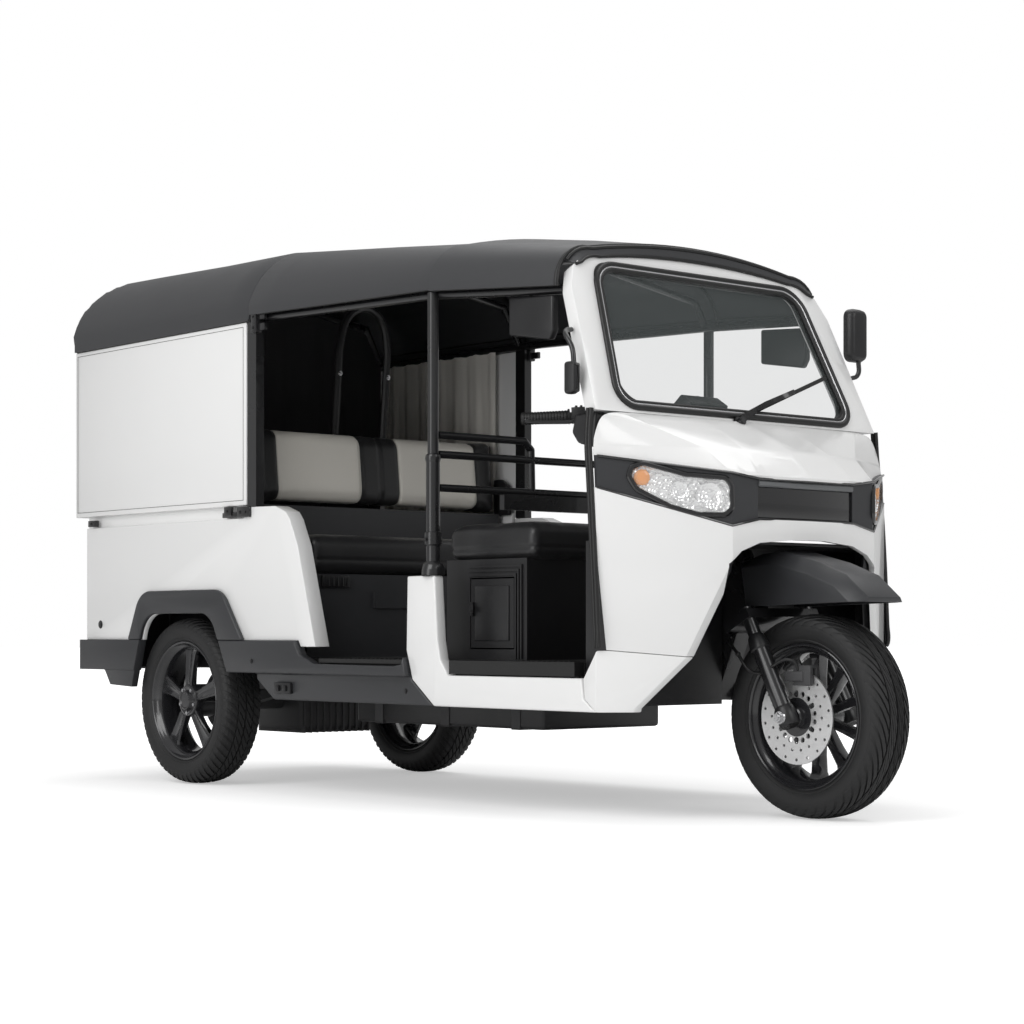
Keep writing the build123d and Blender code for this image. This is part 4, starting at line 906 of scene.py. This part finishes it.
amber_lens = surface("amber_lens", (0.85, 0.30, 0.02), 0.12, mottle=0.15, Coat_Weight=0.6)
bezel_black = surface("bezel_black", (0.008, 0.008, 0.009), 0.16, grain=0.02, mottle=0.1, Coat_Weight=0.8)
# Each row is a bowl's place along and up, its radius and the radius of its bulb.
BOWLS = ((0.222, 0.868, 0.026, 0.0065), (0.300, 0.856, 0.034, 0.008))


def on_lamp(along, up, out):
    """A place on the right lamp: along the nose's side, up, and out from it."""
    return CORNER + ALONG * along + OUT * out + Vector((0, 0, up))


def rounded_outline(corners, radius, segments=3):
    """A flat outline with its corners rounded over, as a list of places."""
    form = bmesh.new()
    form.faces.new([form.verts.new((u, v, 0)) for u, v in corners])
    bmesh.ops.bevel(
        form, geom=form.verts[:], offset=radius, affect="VERTICES", segments=segments, profile=0.5, material=-1
    )
    largest = max(form.faces, key=lambda face: face.calc_area())
    outline = [(vert.co.x, vert.co.y) for vert in largest.verts]
    form.free()
    return outline


def resized(outline, grow):
    """An outline moved outwards by a distance, or inwards when negative."""
    count = len(outline)
    area = sum(outline[i - 1][0] * outline[i][1] - outline[i][0] * outline[i - 1][1] for i in range(count))
    moved = []
    for i, spot in enumerate(outline):
        before = (Vector(spot) - Vector(outline[i - 1])).normalized()
        after = (Vector(outline[(i + 1) % count]) - Vector(spot)).normalized()
        normal = Vector((before.y + after.y, -before.x - after.x)).normalized() * (1 if area > 0 else -1)
        square = Vector((before.y, -before.x)) * (1 if area > 0 else -1)
        moved.append(tuple(Vector(spot) + normal * grow / max(0.5, normal.dot(square))))
    return moved


def ring_between(form, loops, capped=False):
    """A skin through closed loops with the same number of corners, perhaps capped at the last."""
    rows = [closed_loop(form, loop)[1] for loop in loops]
    for first, second in zip(rows, rows[1:]):
        bmesh.ops.bridge_loops(form, edges=first + second)
    if capped:
        bmesh.ops.contextual_create(form, geom=rows[-1])
    return rows


def circle(corners):
    """The corners of a circle with a radius of one."""
    angles = [math.tau * i / corners for i in range(corners)]
    return [(math.cos(angle), math.sin(angle)) for angle in angles]


def lens_rings(steps):
    """Loops round the right lens: how far each grows from its outline, and how far out it is."""
    outline = rounded_outline(LENS_OUTLINE, 0.006)
    return [[on_lamp(*spot, out) for spot in resized(outline, grow)] for grow, out in steps]


def round_rings(along, up, radius, corners, steps):
    """Circles on the right lamp: each one's share of the radius, and how far out it is."""
    loops = []
    for share, out in steps:
        spots = [(along + c * radius * share, up + s * radius * share) for c, s in circle(corners)]
        loops.append([on_lamp(*spot, out) for spot in spots])
    return loops


def both_lamps(name, skins, material, replaced=(), crease=35, capped=True):
    """The right lamp's skins and their mirror image, as one piece."""
    form = bmesh.new()
    for loops in skins:
        ring_between(form, loops, capped)
    bmesh.ops.mirror(form, geom=form.verts[:] + form.edges[:] + form.faces[:], axis="Y", merge_dist=0)
    piece(name, form, material, "cab", replaced, crease)


bezel = [(0.014, -0.005), (0.013, -0.001), (0.009, 0.003), (0.003, 0.003), (0.000, 0.0), (-0.001, -0.022)]
both_lamps("headlamp_bezels", [lens_rings(bezel)], bezel_black, crease=25, capped=False)
bowl = [(1.00, -0.0080), (1.00, -0.0120), (0.72, -0.0165), (0.40, -0.0185), (0.12, -0.0188)]
skins = [lens_rings([(-0.0005, -0.006), (-0.004, -0.019)])]
skins += [round_rings(along, up, radius, 24, bowl) for along, up, radius, _ in BOWLS]
both_lamps("headlamp_reflectors", skins, reflector, ["headlamps"])
housing = [(0.010, -0.006), (0.009, -0.030), (-0.004, -0.044)]
both_lamps("headlamp_housings", [lens_rings(housing)], black_plastic)
bulb = [(1.0, -0.0185), (1.0, -0.0100), (0.8, -0.0075), (0.4, -0.0065)]
skins = [round_rings(along, up, radius, 16, bulb) for along, up, _, radius in BOWLS]
both_lamps("headlamp_bulbs", skins, lens_glass)
dome = [(1.0, -0.0175), (1.0, -0.0085), (0.85, -0.0060), (0.5, -0.0045), (0.15, -0.0040)]
both_lamps("turn_lamps", [round_rings(0.122, 0.903, 0.021, 28, dome)], amber_lens)
crown = [(-0.0004, -0.0035), (-0.0030, -0.0010), (-0.0070, 0.0010), (-0.0110, 0.0018)]
both_lamps("headlamp_lenses", [lens_rings(crown)], lens_glass)


# Grille panel: a plain satin black panel between the lamps, with a grey bar along its top, and
# the black beads along the upper and lower edges of the whole lamp band.
def bevelled_block(form, low, high, rounding, segments=2):
    """Adds a block with rounded edges between two corners."""
    low, high = Vector(low), Vector(high)
    place = Matrix.Translation((low + high) / 2) @ Matrix.Diagonal((*(high - low), 1))
    made = bmesh.ops.create_cube(form, size=1, matrix=place)["verts"]
    rounded(form, list({edge for vert in made for edge in vert.link_edges}), rounding, segments)


form = bmesh.new()
bevelled_block(form, (1.267, -0.188, 0.799), (1.279, 0.188, 0.903), 0.004)
piece("grille_panel", form, bezel_black, "cab", ["grille"])
grey_satin = surface("grey_satin", (0.16, 0.165, 0.17), 0.35, grain=0.1, mottle=0.06, metallic=0.3)
form = bmesh.new()
bar = [(1.277, 0.886), (1.284, 0.883), (1.288, 0.888), (1.288, 0.896), (1.284, 0.901), (1.277, 0.902)]
carried(form, [[(x, y, z) for x, z in bar] for y in (-0.187, 0.187)])
bmesh.ops.recalc_face_normals(form, faces=form.faces)
rounded(form, form.edges[:], 0.001)
piece("grille_bar", form, grey_satin, "cab")
BAND_CORNERS = ((1.0715, -0.5705), (1.2795, -0.2815), (1.2875, -0.188), (1.2905, 0.0))
lines = []
for heights in ((0.9585, 0.9165, 0.9045, 0.9045), (0.8755, 0.7775, 0.7975, 0.7975)):
    half_line = [(x, y, z) for (x, y), z in zip(BAND_CORNERS, heights)]
    lines.append(pipe_mesh(arch(half_line), 0.0035, rings=2))
line_piece("lamp_band_beads", lines, bezel_black, "cab")

# Windshield: laminated glass in a black rubber seal with two round lips and a pale locking strip
# between them, set in the raked frame.
RAKE_SIN, RAKE_COS = 0.3844, 0.9232


def on_shield(y, up, out):
    """A place in the windshield's raked plane: across, up the plane and out from it."""
    return Vector((1.051 - RAKE_SIN * up + RAKE_COS * out, y, 1.080 + RAKE_COS * up + RAKE_SIN * out))


def shield_outline(inset):
    """The windshield opening's outline, smaller by inset, with rounded corners."""
    corners = [(-0.475, 0.014), (0.475, 0.014), (0.409, 0.461), (-0.409, 0.461)]
    return resized(rounded_outline(corners, 0.075, segments=8), -inset)


def shield_bead(inset, out, radius):
    """A round bead along the windshield's outline."""
    return pipe_mesh([on_shield(y, up, out) for y, up in shield_outline(inset)], radius, closed=True)


lips = [shield_bead(0.003, 0.002, 0.0085), shield_bead(0.019, 0.000, 0.0065)]
line_piece("windshield_lips", lips, rubber, "cab")
line_piece("windshield_strip", [shield_bead(0.012, 0.0045, 0.0028)], bright_steel, "cab")

# Door edge seals: a doubled rubber bead down the rear edge of each side of the nose.
DOOR_EDGE = [(1.045, -0.567, 1.085), (1.046, -0.574, 1.000), (1.056, -0.577, 0.900)]
DOOR_EDGE += [(1.081, -0.577, 0.520), (1.083, -0.577, 0.470), (1.079, -0.574, 0.458)]
beads = []
for gap in (0.0, 0.011):
    for points in both_sides([(x - gap, y, z) for x, y, z in DOOR_EDGE]):
        beads.append(pipe_mesh(points, 0.0065, smooth=True))
line_piece("door_edge_seals", beads, rubber, "cab")

# Wiper: a pressed arm on a stepped pivot under the glass, with a rubber blade held at its middle.
form = bmesh.new()
stand = Matrix.Translation(on_shield(-0.025, -0.006, 0.016)) @ facing((RAKE_COS, 0, RAKE_SIN))
for radius, low, high in ((0.019, -0.012, -0.006), (0.013, -0.006, 0.006), (0.009, 0.006, 0.010)):
    drum(form, stand @ Matrix.Translation((0, 0, (low + high) / 2)), radius, radius * 0.9, high - low, 24)
arm = [(-0.033, -0.016, 0.011, 0.011), (0.000, 0.012, 0.010, 0.012)]
arm += [(0.100, 0.056, 0.008, 0.015), (0.240, 0.108, 0.006, 0.014)]
outlines = []
for y, up, half, out in arm:
    ends = ((-half, -0.002), (-half, 0.002), (half, 0.002), (half, -0.002))
    outlines.append([on_shield(y - 0.37 * u, up + 0.93 * u, out + w) for u, w in ends])
carried(form, outlines)
piece("wiper_arm", form, black_enamel, "cab", ["wiper"])
form = bmesh.new()
outlines = []
for share in (0.0, 0.2, 0.5, 0.8, 1.0):
    y, up = 0.060 + share * 0.350, 0.037 + share * 0.133
    rise = 0.010 - 0.003 * abs(share - 0.5) * 2
    ends = ((-0.006, rise), (0.006, rise), (0.002, 0.001), (-0.002, 0.001))
    outlines.append([on_shield(y - 0.36 * u, up + 0.93 * u, w) for u, w in ends])
carried(form, outlines)
piece("wiper_blade", form, rubber, "cab")

# Mirrors: moulded black shells with rounded backs and bright glass, on bent steel stems. The left
# one stands ahead of its pillar and the right one hangs beside its own.
mirror_glass = surface("mirror_glass", (0.82, 0.84, 0.86), 0.03, mottle=0.02, metallic=1.0)
STEMS = [
    [(0.974, 0.540, 1.248), (0.984, 0.556, 1.256), (0.986, 0.560, 1.300)],
    [(0.930, -0.533, 1.304), (0.938, -0.561, 1.296), (0.974, -0.569, 1.245), (0.981, -0.570, 1.205)],
]
HEADS = [((0.968, 0.512, 1.296), (1.002, 0.590, 1.452)), ((0.962, -0.588, 1.126), (1.000, -0.556, 1.212))]
lines = [pipe_mesh(points, 0.007, smooth=True) for points in STEMS]
line_piece("mirror_stems", lines, black_enamel, "cab")
shells, glasses = bmesh.new(), bmesh.new()
for low, high in HEADS:
    middle = (Vector(low) + Vector(high)) / 2
    half_y, half_z = (high[1] - low[1]) / 2, (high[2] - low[2]) / 2
    narrow = min(half_y, half_z)
    corners = [(-half_y, -half_z), (half_y, -half_z), (half_y, half_z), (-half_y, half_z)]
    outline = rounded_outline(corners, narrow * 0.62, 5)
    shell = [(-0.010, low[0]), (-0.001, low[0]), (0.0, low[0] + 0.004), (0.0, low[0] + 0.016)]
    shell += [(-0.005, high[0] - 0.006), (-0.012, high[0] - 0.001), (-0.015, high[0])]
    glass = [(-0.006, low[0] - 0.0004), (-0.006, low[0] + 0.002)]
    for form, steps in ((shells, shell), (glasses, glass)):
        loops = []
        for grow, x in steps:
            spots = resized(outline, max(grow, -0.8 * narrow))
            loops.append([(x, middle.y + u, middle.z + v) for u, v in spots])
        rows = ring_between(form, loops, capped=True)
        bmesh.ops.contextual_create(form, geom=rows[0])
piece("mirror_shells", shells, black_plastic, "cab", ["mirrors"])
piece("mirror_glasses", glasses, mirror_glass, "cab")

# Handlebar fittings: ribbed rubber grips with end weights, switch boxes and cast levers.
grip_rubber = surface("grip_rubber", (0.012, 0.012, 0.012), 0.55, grain=0.4, grain_scale=900, mottle=0.1)
RIB_PITCH = 0.0085
grips, boxes, levers = bmesh.new(), bmesh.new(), bmesh.new()
for side in (-1, 1):
    end, inner = Vector((0.590, side * 0.410, 1.098)), Vector((0.790, side * 0.190, 1.112))
    run = (inner - end).normalized()
    turn = Vector((0, 1, 0)).rotation_difference(run).to_matrix().to_4x4()
    stand = Matrix.Translation(end) @ turn
    ribs = [(-0.004, 0.0130), (-0.002, 0.0175), (0.004, 0.0185)]
    for rib in range(14):
        start = RIB_PITCH * rib
        ribs += [(0.006 + start, 0.0162), (0.009 + start, 0.0178), (0.0125 + start, 0.0178)]
    ribs += [(0.126, 0.0170), (0.128, 0.0215), (0.133, 0.0215), (0.134, 0.0125)]
    grip = bmesh.new()
    turned(grip, ribs, 20)
    bmesh.ops.transform(grip, matrix=stand, verts=grip.verts)
    sleeve = bpy.data.meshes.new("sleeve")
    grip.to_mesh(sleeve)
    grip.free()
    grips.from_mesh(sleeve)
    bpy.data.meshes.remove(sleeve)
    cap = Matrix.Translation(end - run * 0.002) @ turn @ Matrix.Rotation(math.radians(90), 4, "X")
    drum(grips, cap, 0.0125, 0.0125, 0.006, 20)
    box = stand @ Matrix.Translation((0, 0.166, 0.002)) @ Matrix.Diagonal((0.040, 0.056, 0.044, 1))
    bmesh.ops.create_cube(boxes, size=1, matrix=box)
    for reach in (0.152, 0.166, 0.180):
        drum(boxes, stand @ Matrix.Translation((0, reach, 0.026)), 0.005, 0.0035, 0.008, 12)
    lever = [
        (inner + Vector((0.010, side * 0.006, -0.006)), 0.010, 0.008),
        (inner + Vector((0.030, side * 0.030, -0.012)), 0.010, 0.007),
        (end + run * 0.120 + Vector((0.040, side * 0.034, -0.020)), 0.009, 0.005),
        (end + run * 0.030 + Vector((0.036, side * 0.036, -0.016)), 0.008, 0.005),
        (end + run * 0.010 + Vector((0.038, side * 0.038, -0.010)), 0.006, 0.006),
    ]
    outlines = []
    for spot, half, thick in lever:
        wide = Vector((0.74, side * 0.67, 0)) * half
        ends = ((-1, -1), (-1, 1), (1, 1), (1, -1))
        outlines.append([spot + wide * a + Vector((0, 0, thick * b)) for a, b in ends])
    carried(levers, outlines)
rounded(boxes, boxes.edges[:], 0.004, clamped=True)
bmesh.ops.recalc_face_normals(levers, faces=levers.faces)
rounded(levers, levers.edges[:], 0.002, clamped=True)
piece("handlebar_grips", grips, grip_rubber, "steering")
piece("switch_boxes", boxes, black_plastic, "steering")
piece("levers", levers, black_enamel, "steering")

# Side panel trim: a thin rubber line set into each panel near its border, and the black latches
# and hinges that hold the panels to the body's ledge and to the rear post.
corners = ((-1.586, 0.914), (-1.586, 1.458), (-0.560, 1.458), (-0.560, 0.914))
border = [(x, -0.5752, z) for x, z in corners]
lines = [pipe_mesh(points, 0.0011, closed=True, rings=1) for points in both_sides(border)]
line_piece("side_panel_lines", lines, rubber, "cab")


def side_blocks(form, blocks, segments=2):
    """Adds blocks given by two corners and a rounding on the left side, and their mirror images."""
    for low, high, rounding in blocks:
        for side in (-1, 1):
            near, far = sorted((side * low[1], side * high[1]))
            bevelled_block(form, (low[0], near, low[2]), (high[0], far, high[2]), rounding, segments)


LATCHES = [
    ((-1.504, 0.566, 0.862), (-1.457, 0.583, 0.884), 0.002),
    ((-0.672, 0.560, 0.862), (-0.590, 0.580, 0.878), 0.002),
    ((-0.655, 0.574, 0.866), (-0.615, 0.586, 0.897), 0.003),
    ((-0.585, 0.560, 0.860), (-0.514, 0.584, 0.894), 0.003),
    ((-0.512, 0.556, 1.434), (-0.484, 0.580, 1.500), 0.003),
    ((-0.484, 0.560, 1.440), (-0.448, 0.572, 1.462), 0.002),
    ((-0.484, 0.560, 1.474), (-0.448, 0.572, 1.494), 0.002),
]
PANEL_SCREWS = [(-1.481, 0.583, 0.873), (-0.635, 0.586, 0.882), (-0.565, 0.584, 0.877), (-0.535, 0.584, 0.877)]
HINGE_SCREWS = [(-0.498, 0.580, 1.450), (-0.498, 0.580, 1.484)]
form = bmesh.new()
side_blocks(form, LATCHES)
piece("panel_latches", form, black_enamel, "cab")

# Body fixings: dark screws in the latches, the skirts and the body's sides, the rearmost one
# larger, and the jacking bracket bolted under each skirt.
body_nodes = ("rear_body", "side_skirts", "sills", "rear_bumper")
body_skin = skin_of([frame["nodes"][node].data for node in body_nodes])
BODY_SCREWS = ((-0.492, 0.409, 0.0065), (0.262, 0.330, 0.0065), (-0.206, 0.660, 0.0065), (-1.433, 0.526, 0.011))
bolts = bmesh.new()
for side in (-1, 1):
    for screws, radius in ((PANEL_SCREWS, 0.0045), (HINGE_SCREWS, 0.004)):
        for x, y, z in screws:
            bolt_head(bolts, (x, side * y, z), (0, side, 0), radius, 0.004)
    for x, z, radius in BODY_SCREWS:
        spot = body_skin.ray_cast(Vector((x, side * 0.8, z)), Vector((0, -side, 0)))[0]
        if spot is not None:
            bolt_head(bolts, spot, (0, side, 0), radius, 0.004)
piece("body_bolts", bolts, black_enamel, "cab")
BRACKET = [
    ((-0.385, 0.566, 0.310), (-0.300, 0.580, 0.345), 0.004),
    ((-0.370, 0.576, 0.318), (-0.352, 0.588, 0.337), 0.003),
    ((-0.333, 0.576, 0.318), (-0.315, 0.588, 0.337), 0.003),
]
form = bmesh.new()
side_blocks(form, BRACKET)
piece("jacking_brackets", form, black_plastic, "cab")

# Post clamps: round the sleeve of each middle post, a clamp ring with a bolt, a foot where it
# stands on the sill, and a small ring at its top where the post comes out.
POST_X, POST_Y = 0.372, 0.557
POST_RINGS = [
    ((0.0205, 0.784), (0.0240, 0.782), (0.0245, 0.776), (0.0245, 0.748), (0.0205, 0.744)),
    ((0.0205, 0.700), (0.0300, 0.690), (0.0330, 0.675), (0.0330, 0.661)),
    ((0.0160, 1.006), (0.0205, 1.002), (0.0225, 0.992), (0.0205, 0.982)),
]


def collar(form, stand, profile, corners=28):
    """A round skin on a stand, through a row of radii and heights. Gives its rows of edges."""
    loops = []
    for radius, up in profile:
        loops.append([stand @ Vector((radius * c, radius * s, up)) for c, s in circle(corners)])
    return ring_between(form, loops)


form = bmesh.new()
for side in (-1, 1):
    for profile in POST_RINGS:
        collar(form, Matrix.Translation((POST_X, side * POST_Y, 0)), profile)
    bolt_head(form, (POST_X, side * 0.580, 0.762), (0, side, 0), 0.006, 0.006)
piece("post_clamps", form, black_enamel, "cab")

# Fork fittings: dust seals on the lower legs, rings round the axle's ends, the axle nuts, and the
# brake hose clipped down the right leg to the caliper.
LEAN = math.radians(28)
UP = Vector((-math.sin(LEAN), 0, math.cos(LEAN)))
AHEAD = Vector((math.cos(LEAN), 0, math.sin(LEAN)))
LEG_Y = 0.122
DUST_SEAL = [(0.0245, 0.200), (0.0275, 0.204), (0.0275, 0.216)]
DUST_SEAL += [(0.0250, 0.226), (0.0230, 0.240), (0.0185, 0.246)]
LEG_FOOT = ((0.0245, -0.026), (0.0275, -0.022), (0.0285, 0.000), (0.0285, 0.022), (0.0245, 0.030))


def on_fork(up, ahead, y):
    """A place on the fork: up the legs from the axle, ahead of their line and across."""
    return FRONT_AXLE + UP * up + AHEAD * ahead + Vector((0, y, 0))


form, nuts = bmesh.new(), bmesh.new()
for side in (-1, 1):
    stand = Matrix.Translation(on_fork(0, 0, side * LEG_Y)) @ facing(UP)
    collar(form, stand, DUST_SEAL)
    bmesh.ops.contextual_create(form, geom=collar(form, stand, LEG_FOOT)[0])
    bolt_head(nuts, (FRONT_AXLE.x, side * 0.1495, FRONT_AXLE.z), (0, side, 0), 0.014, 0.016)
piece("fork_seals", form, black_plastic, "steering")
piece("axle_nuts", nuts, bright_steel, "steering")
hose = [on_fork(0.300, -0.070, -0.090), on_fork(0.280, -0.080, -0.125), on_fork(0.220, -0.060, -0.146)]
hose += [on_fork(0.150, -0.034, -0.140), FRONT_AXLE + Vector((0.010, -0.112, 0.150))]
hose += [FRONT_AXLE + Vector((0.020, -0.100, 0.124))]
form = bmesh.new()
form.from_mesh(pipe_mesh(hose, 0.0045, smooth=True))
for spot in hose[1:3]:
    bmesh.ops.create_uvsphere(form, u_segments=12, v_segments=8, radius=0.0075, matrix=Matrix.Translation(spot))
piece("brake_hose", form, rubber, "steering")

# Tail lamps: moulded red, amber and clear lenses with ribs across them, stacked in a black tray
# that is screwed to the body on each side of the boot lid.
tray, red, amber, clear = (bmesh.new() for _ in range(4))
side_blocks(tray, [((-1.5315, 0.443, 0.560), (-1.5250, 0.527, 0.760), 0.003)])
for form, low, high in ((red, 0.664, 0.754), (amber, 0.612, 0.660), (clear, 0.566, 0.608)):
    side_blocks(form, [((-1.5370, 0.449, low), (-1.5300, 0.521, high), 0.003)], 3)
    for rib in range(5):
        z = low + (high - low) * (rib + 0.7) / 5.4
        side_blocks(form, [((-1.5378, 0.453, z - 0.0012), (-1.5360, 0.517, z + 0.0012), 0.0005)], 1)
piece("tail_lamp_trays", tray, black_plastic, "cab", ["tail_lamps"])
piece("tail_lamp_red", red, red_lens, "cab")
piece("tail_lamp_amber", amber, amber_lens, "cab")
piece("tail_lamp_clear", clear, lamp_glass, "cab")

# Boot lid fittings: a recess with its pull bar, a blank number plate on its holder, and two leaf
# hinges along the top. They swing with the lid.
form, plate = bmesh.new(), bmesh.new()
bevelled_block(form, (-1.533, -0.090, 0.556), (-1.524, 0.090, 0.596), 0.004)
bevelled_block(form, (-1.541, -0.075, 0.580), (-1.531, 0.075, 0.590), 0.003)
bevelled_block(form, (-1.529, -0.185, 0.648), (-1.524, 0.185, 0.772), 0.003)
for y in (-0.28, 0.28):
    bevelled_block(form, (-1.530, y - 0.025, 0.800), (-1.524, y + 0.025, 0.836), 0.002)
bevelled_block(plate, (-1.531, -0.170, 0.656), (-1.528, 0.170, 0.764), 0.001)
for y in (-0.12, 0.12):
    bolt_head(form, (-1.531, y, 0.752), (-1, 0, 0), 0.005, 0.003)
for y in (-0.27996, 0.27996):
    bolt_head(form, (-1.530, y, 0.818), (-1, 0, 0), 0.004, 0.003)
lid = body_of("tail_lid")
piece("boot_lid_fittings", form, black_plastic, lid)
blank_plate = surface("blank_plate", (0.75, 0.75, 0.74), 0.4, grain=0.1, mottle=0.04)
piece("blank_plate", plate, blank_plate, lid)

# Rear window, boot lid and bumper trim: a rubber lip round the pane, a rubber seal over the lid's
# top edge, and two red reflectors.
lip = rounded_outline([(-0.330, 1.090), (0.330, 1.090), (0.330, 1.390), (-0.330, 1.390)], 0.030, 5)
lines = [pipe_mesh([(-1.5965, y, z) for y, z in resized(lip, -0.004)], 0.0035, closed=True)]
line_piece("rear_window_lip", lines, rubber, "cab")
form = bmesh.new()
bevelled_block(form, (-1.508, -0.545, 0.834), (-1.499, 0.545, 0.872), 0.002)
bevelled_block(form, (-1.512, -0.545, 0.852), (-1.506, 0.545, 0.864), 0.0025)
piece("boot_lid_seal", form, rubber, "cab")
form = bmesh.new()
side_blocks(form, [((-1.5485, 0.400, 0.380), (-1.5440, 0.500, 0.410), 0.002)])
piece("rear_reflectors", form, red_lens, "cab")

# Storage box fittings: a raised panel on the door and a latch with its catch. They swing with
# the door.
form = bmesh.new()
bevelled_block(form, (0.432, -0.4535, 0.475), (0.580, -0.4490, 0.630), 0.002)
bevelled_block(form, (0.418, -0.4590, 0.545), (0.428, -0.4490, 0.585), 0.002)
bevelled_block(form, (0.421, -0.4640, 0.556), (0.434, -0.4570, 0.574), 0.002)
piece("box_door_fittings", form, black_plastic, body_of("driver_box_door"))

# Floor mat: moulded black rubber with rounded ribs across the passengers' and the driver's floor.
form = bmesh.new()
MAT_PITCH = 0.022
for low_x, high_x, half_y in ((-0.270, 0.285, 0.500), (0.675, 0.905, 0.500)):
    for rib in range(int((high_x - low_x) / MAT_PITCH)):
        x = low_x + MAT_PITCH * rib + 0.006
        bar = [(x, 0.4195), (x + 0.002, 0.4222), (x + 0.008, 0.4222), (x + 0.010, 0.4195)]
        carried(form, [[(u, y, z) for u, z in bar] for y in (-half_y, half_y)])
piece("floor_mat_ribs", form, rubber, "cab")

# Drive and battery details: cooling fins round the motor, and three straps that pass under the
# battery case and up both its sides.
form = bmesh.new()
for fin in range(11):
    y = -0.135 + 0.027 * fin
    bevelled_block(form, (-1.116, y - 0.003, 0.160), (-0.844, y + 0.003, 0.391), 0.001, 1)
for x in (-0.30, 0.03, 0.36):
    bevelled_block(form, (x - 0.020, -0.238, 0.2125), (x + 0.020, 0.238, 0.2175), 0.001, 1)
    side_blocks(form, [((x - 0.020, 0.233, 0.214), (x + 0.020, 0.238, 0.398), 0.001)], 1)
piece("drive_and_straps", form, cast_metal, "cab")

# Bench and ceiling fittings: the ribbed pull tab on the bench's base, and a coat hook and a
# courtesy lamp under the roof.
form = bmesh.new()
bevelled_block(form, (-0.3005, -0.464, 0.637), (-0.2900, -0.357, 0.676), 0.003)
for rib in range(6):
    y = -0.455 + 0.018 * rib
    bevelled_block(form, (-0.2920, y - 0.003, 0.642), (-0.2870, y + 0.003, 0.671), 0.001, 1)
hook = [(0.700, -0.470, 1.455), (0.700, -0.470, 1.395), (0.708, -0.470, 1.375)]
hook += [(0.724, -0.470, 1.378), (0.728, -0.470, 1.395)]
form.from_mesh(pipe_mesh(hook, 0.006, smooth=True))
bevelled_block(form, (-0.180, -0.060, 1.640), (-0.060, 0.060, 1.668), 0.006)
piece("cabin_fittings", form, black_plastic, "cab")

# Instrument: a round dial with a bright ring and a dark face, sunk in the top of its pod.
form, face = bmesh.new(), bmesh.new()
dial = Matrix.Translation((0.8625, 0, 1.1540)) @ facing((-0.62, 0, 0.78))
ring = ((0.0180, -0.004), (0.0190, 0.0020), (0.0183, 0.0032), (0.0165, 0.0030), (0.0158, 0.0))
collar(form, dial, ring, 32)
drum(face, dial, 0.0163, 0.0163, 0.003, 32)
for tick in range(9):
    turn = Matrix.Rotation(math.radians(-120 + 30 * tick), 4, "Z")
    mark = dial @ turn @ Matrix.Translation((0, 0.0128, 0.0016)) @ Matrix.Diagonal((0.0008, 0.0032, 0.0008, 1))
    bmesh.ops.create_cube(form, size=1, matrix=mark)
piece("dial_ring", form, bright_steel, "steering")
piece("dial_face", face, bezel_black, "steering")

# Roof's front hem: the skin's front edge folded down over the windshield frame and sewn to a
# bead, which closes the gap over the frame.
frame_skin = skin_of([frame["nodes"]["windshield_frame"].data])
HEM_DROP, HEM_THICKNESS = 0.034, 0.003
HEM_CORNER_Z, BROW_X = 1.495, 0.862
tops, brows, feet = [], [], []
for edge in (spot for spot in roof_at(0.852) if spot.z > HEM_CORNER_Z):
    inwards = Vector((0, -edge.y, 1.15 - edge.z)).normalized()
    foot = edge + inwards * HEM_DROP * min(1, 0.35 + (edge.z - HEM_CORNER_Z) / 0.03)
    spot = frame_skin.ray_cast(Vector((1.3, foot.y, foot.z)), Vector((-1, 0, 0)))[0]
    foot.x = spot.x + 0.004 if spot is not None else 0.874
    brow = edge + inwards * 0.004
    brow.x = BROW_X
    tops.append(edge + inwards * 0.001)
    brows.append(brow)
    feet.append(foot)
form = bmesh.new()
rows = [[form.verts.new(spot) for spot in row] for row in (tops, brows, feet)]
for upper, lower in zip(rows, rows[1:]):
    for i in range(len(upper) - 1):
        form.faces.new((upper[i], upper[i + 1], lower[i + 1], lower[i]))
bmesh.ops.recalc_face_normals(form, faces=form.faces)
bmesh.ops.solidify(form, geom=form.faces[:], thickness=HEM_THICKNESS)
piece("roof_front_hem", form, roof_vinyl, "cab")
line_piece("roof_hem_beads", [pipe_mesh(feet, 0.0045), pipe_mesh(brows, 0.0050)], rubber, "cab")

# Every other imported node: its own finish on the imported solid.
finish_of_slot = {
    "white_paint": white_paint,
    "dark_paint": dark_sheet,
    "black_frame": black_enamel,
    "dark_plastic": dark_plastic,
    "black_plastic": black_plastic,
    "roof_vinyl": roof_vinyl,
    "seat_vinyl": seat_black,
    "curtain_cloth": curtain_cloth,
    "glass": clear_glass,
    "lamp_lens": lamp_glass,
    "red_lens": red_lens,
    "seal_rubber": rubber,
    "floor_rubber": rubber,
    "tyre_rubber": tyre_rubber,
    "rim_alloy": dark_alloy,
    "disc_steel": disc_steel,
    "drive_metal": cast_metal,
}
for node, packed in frame["nodes"].items():
    packed.data.materials.clear()
    packed.data.materials.append(finish_of_slot[slot_of(node)])
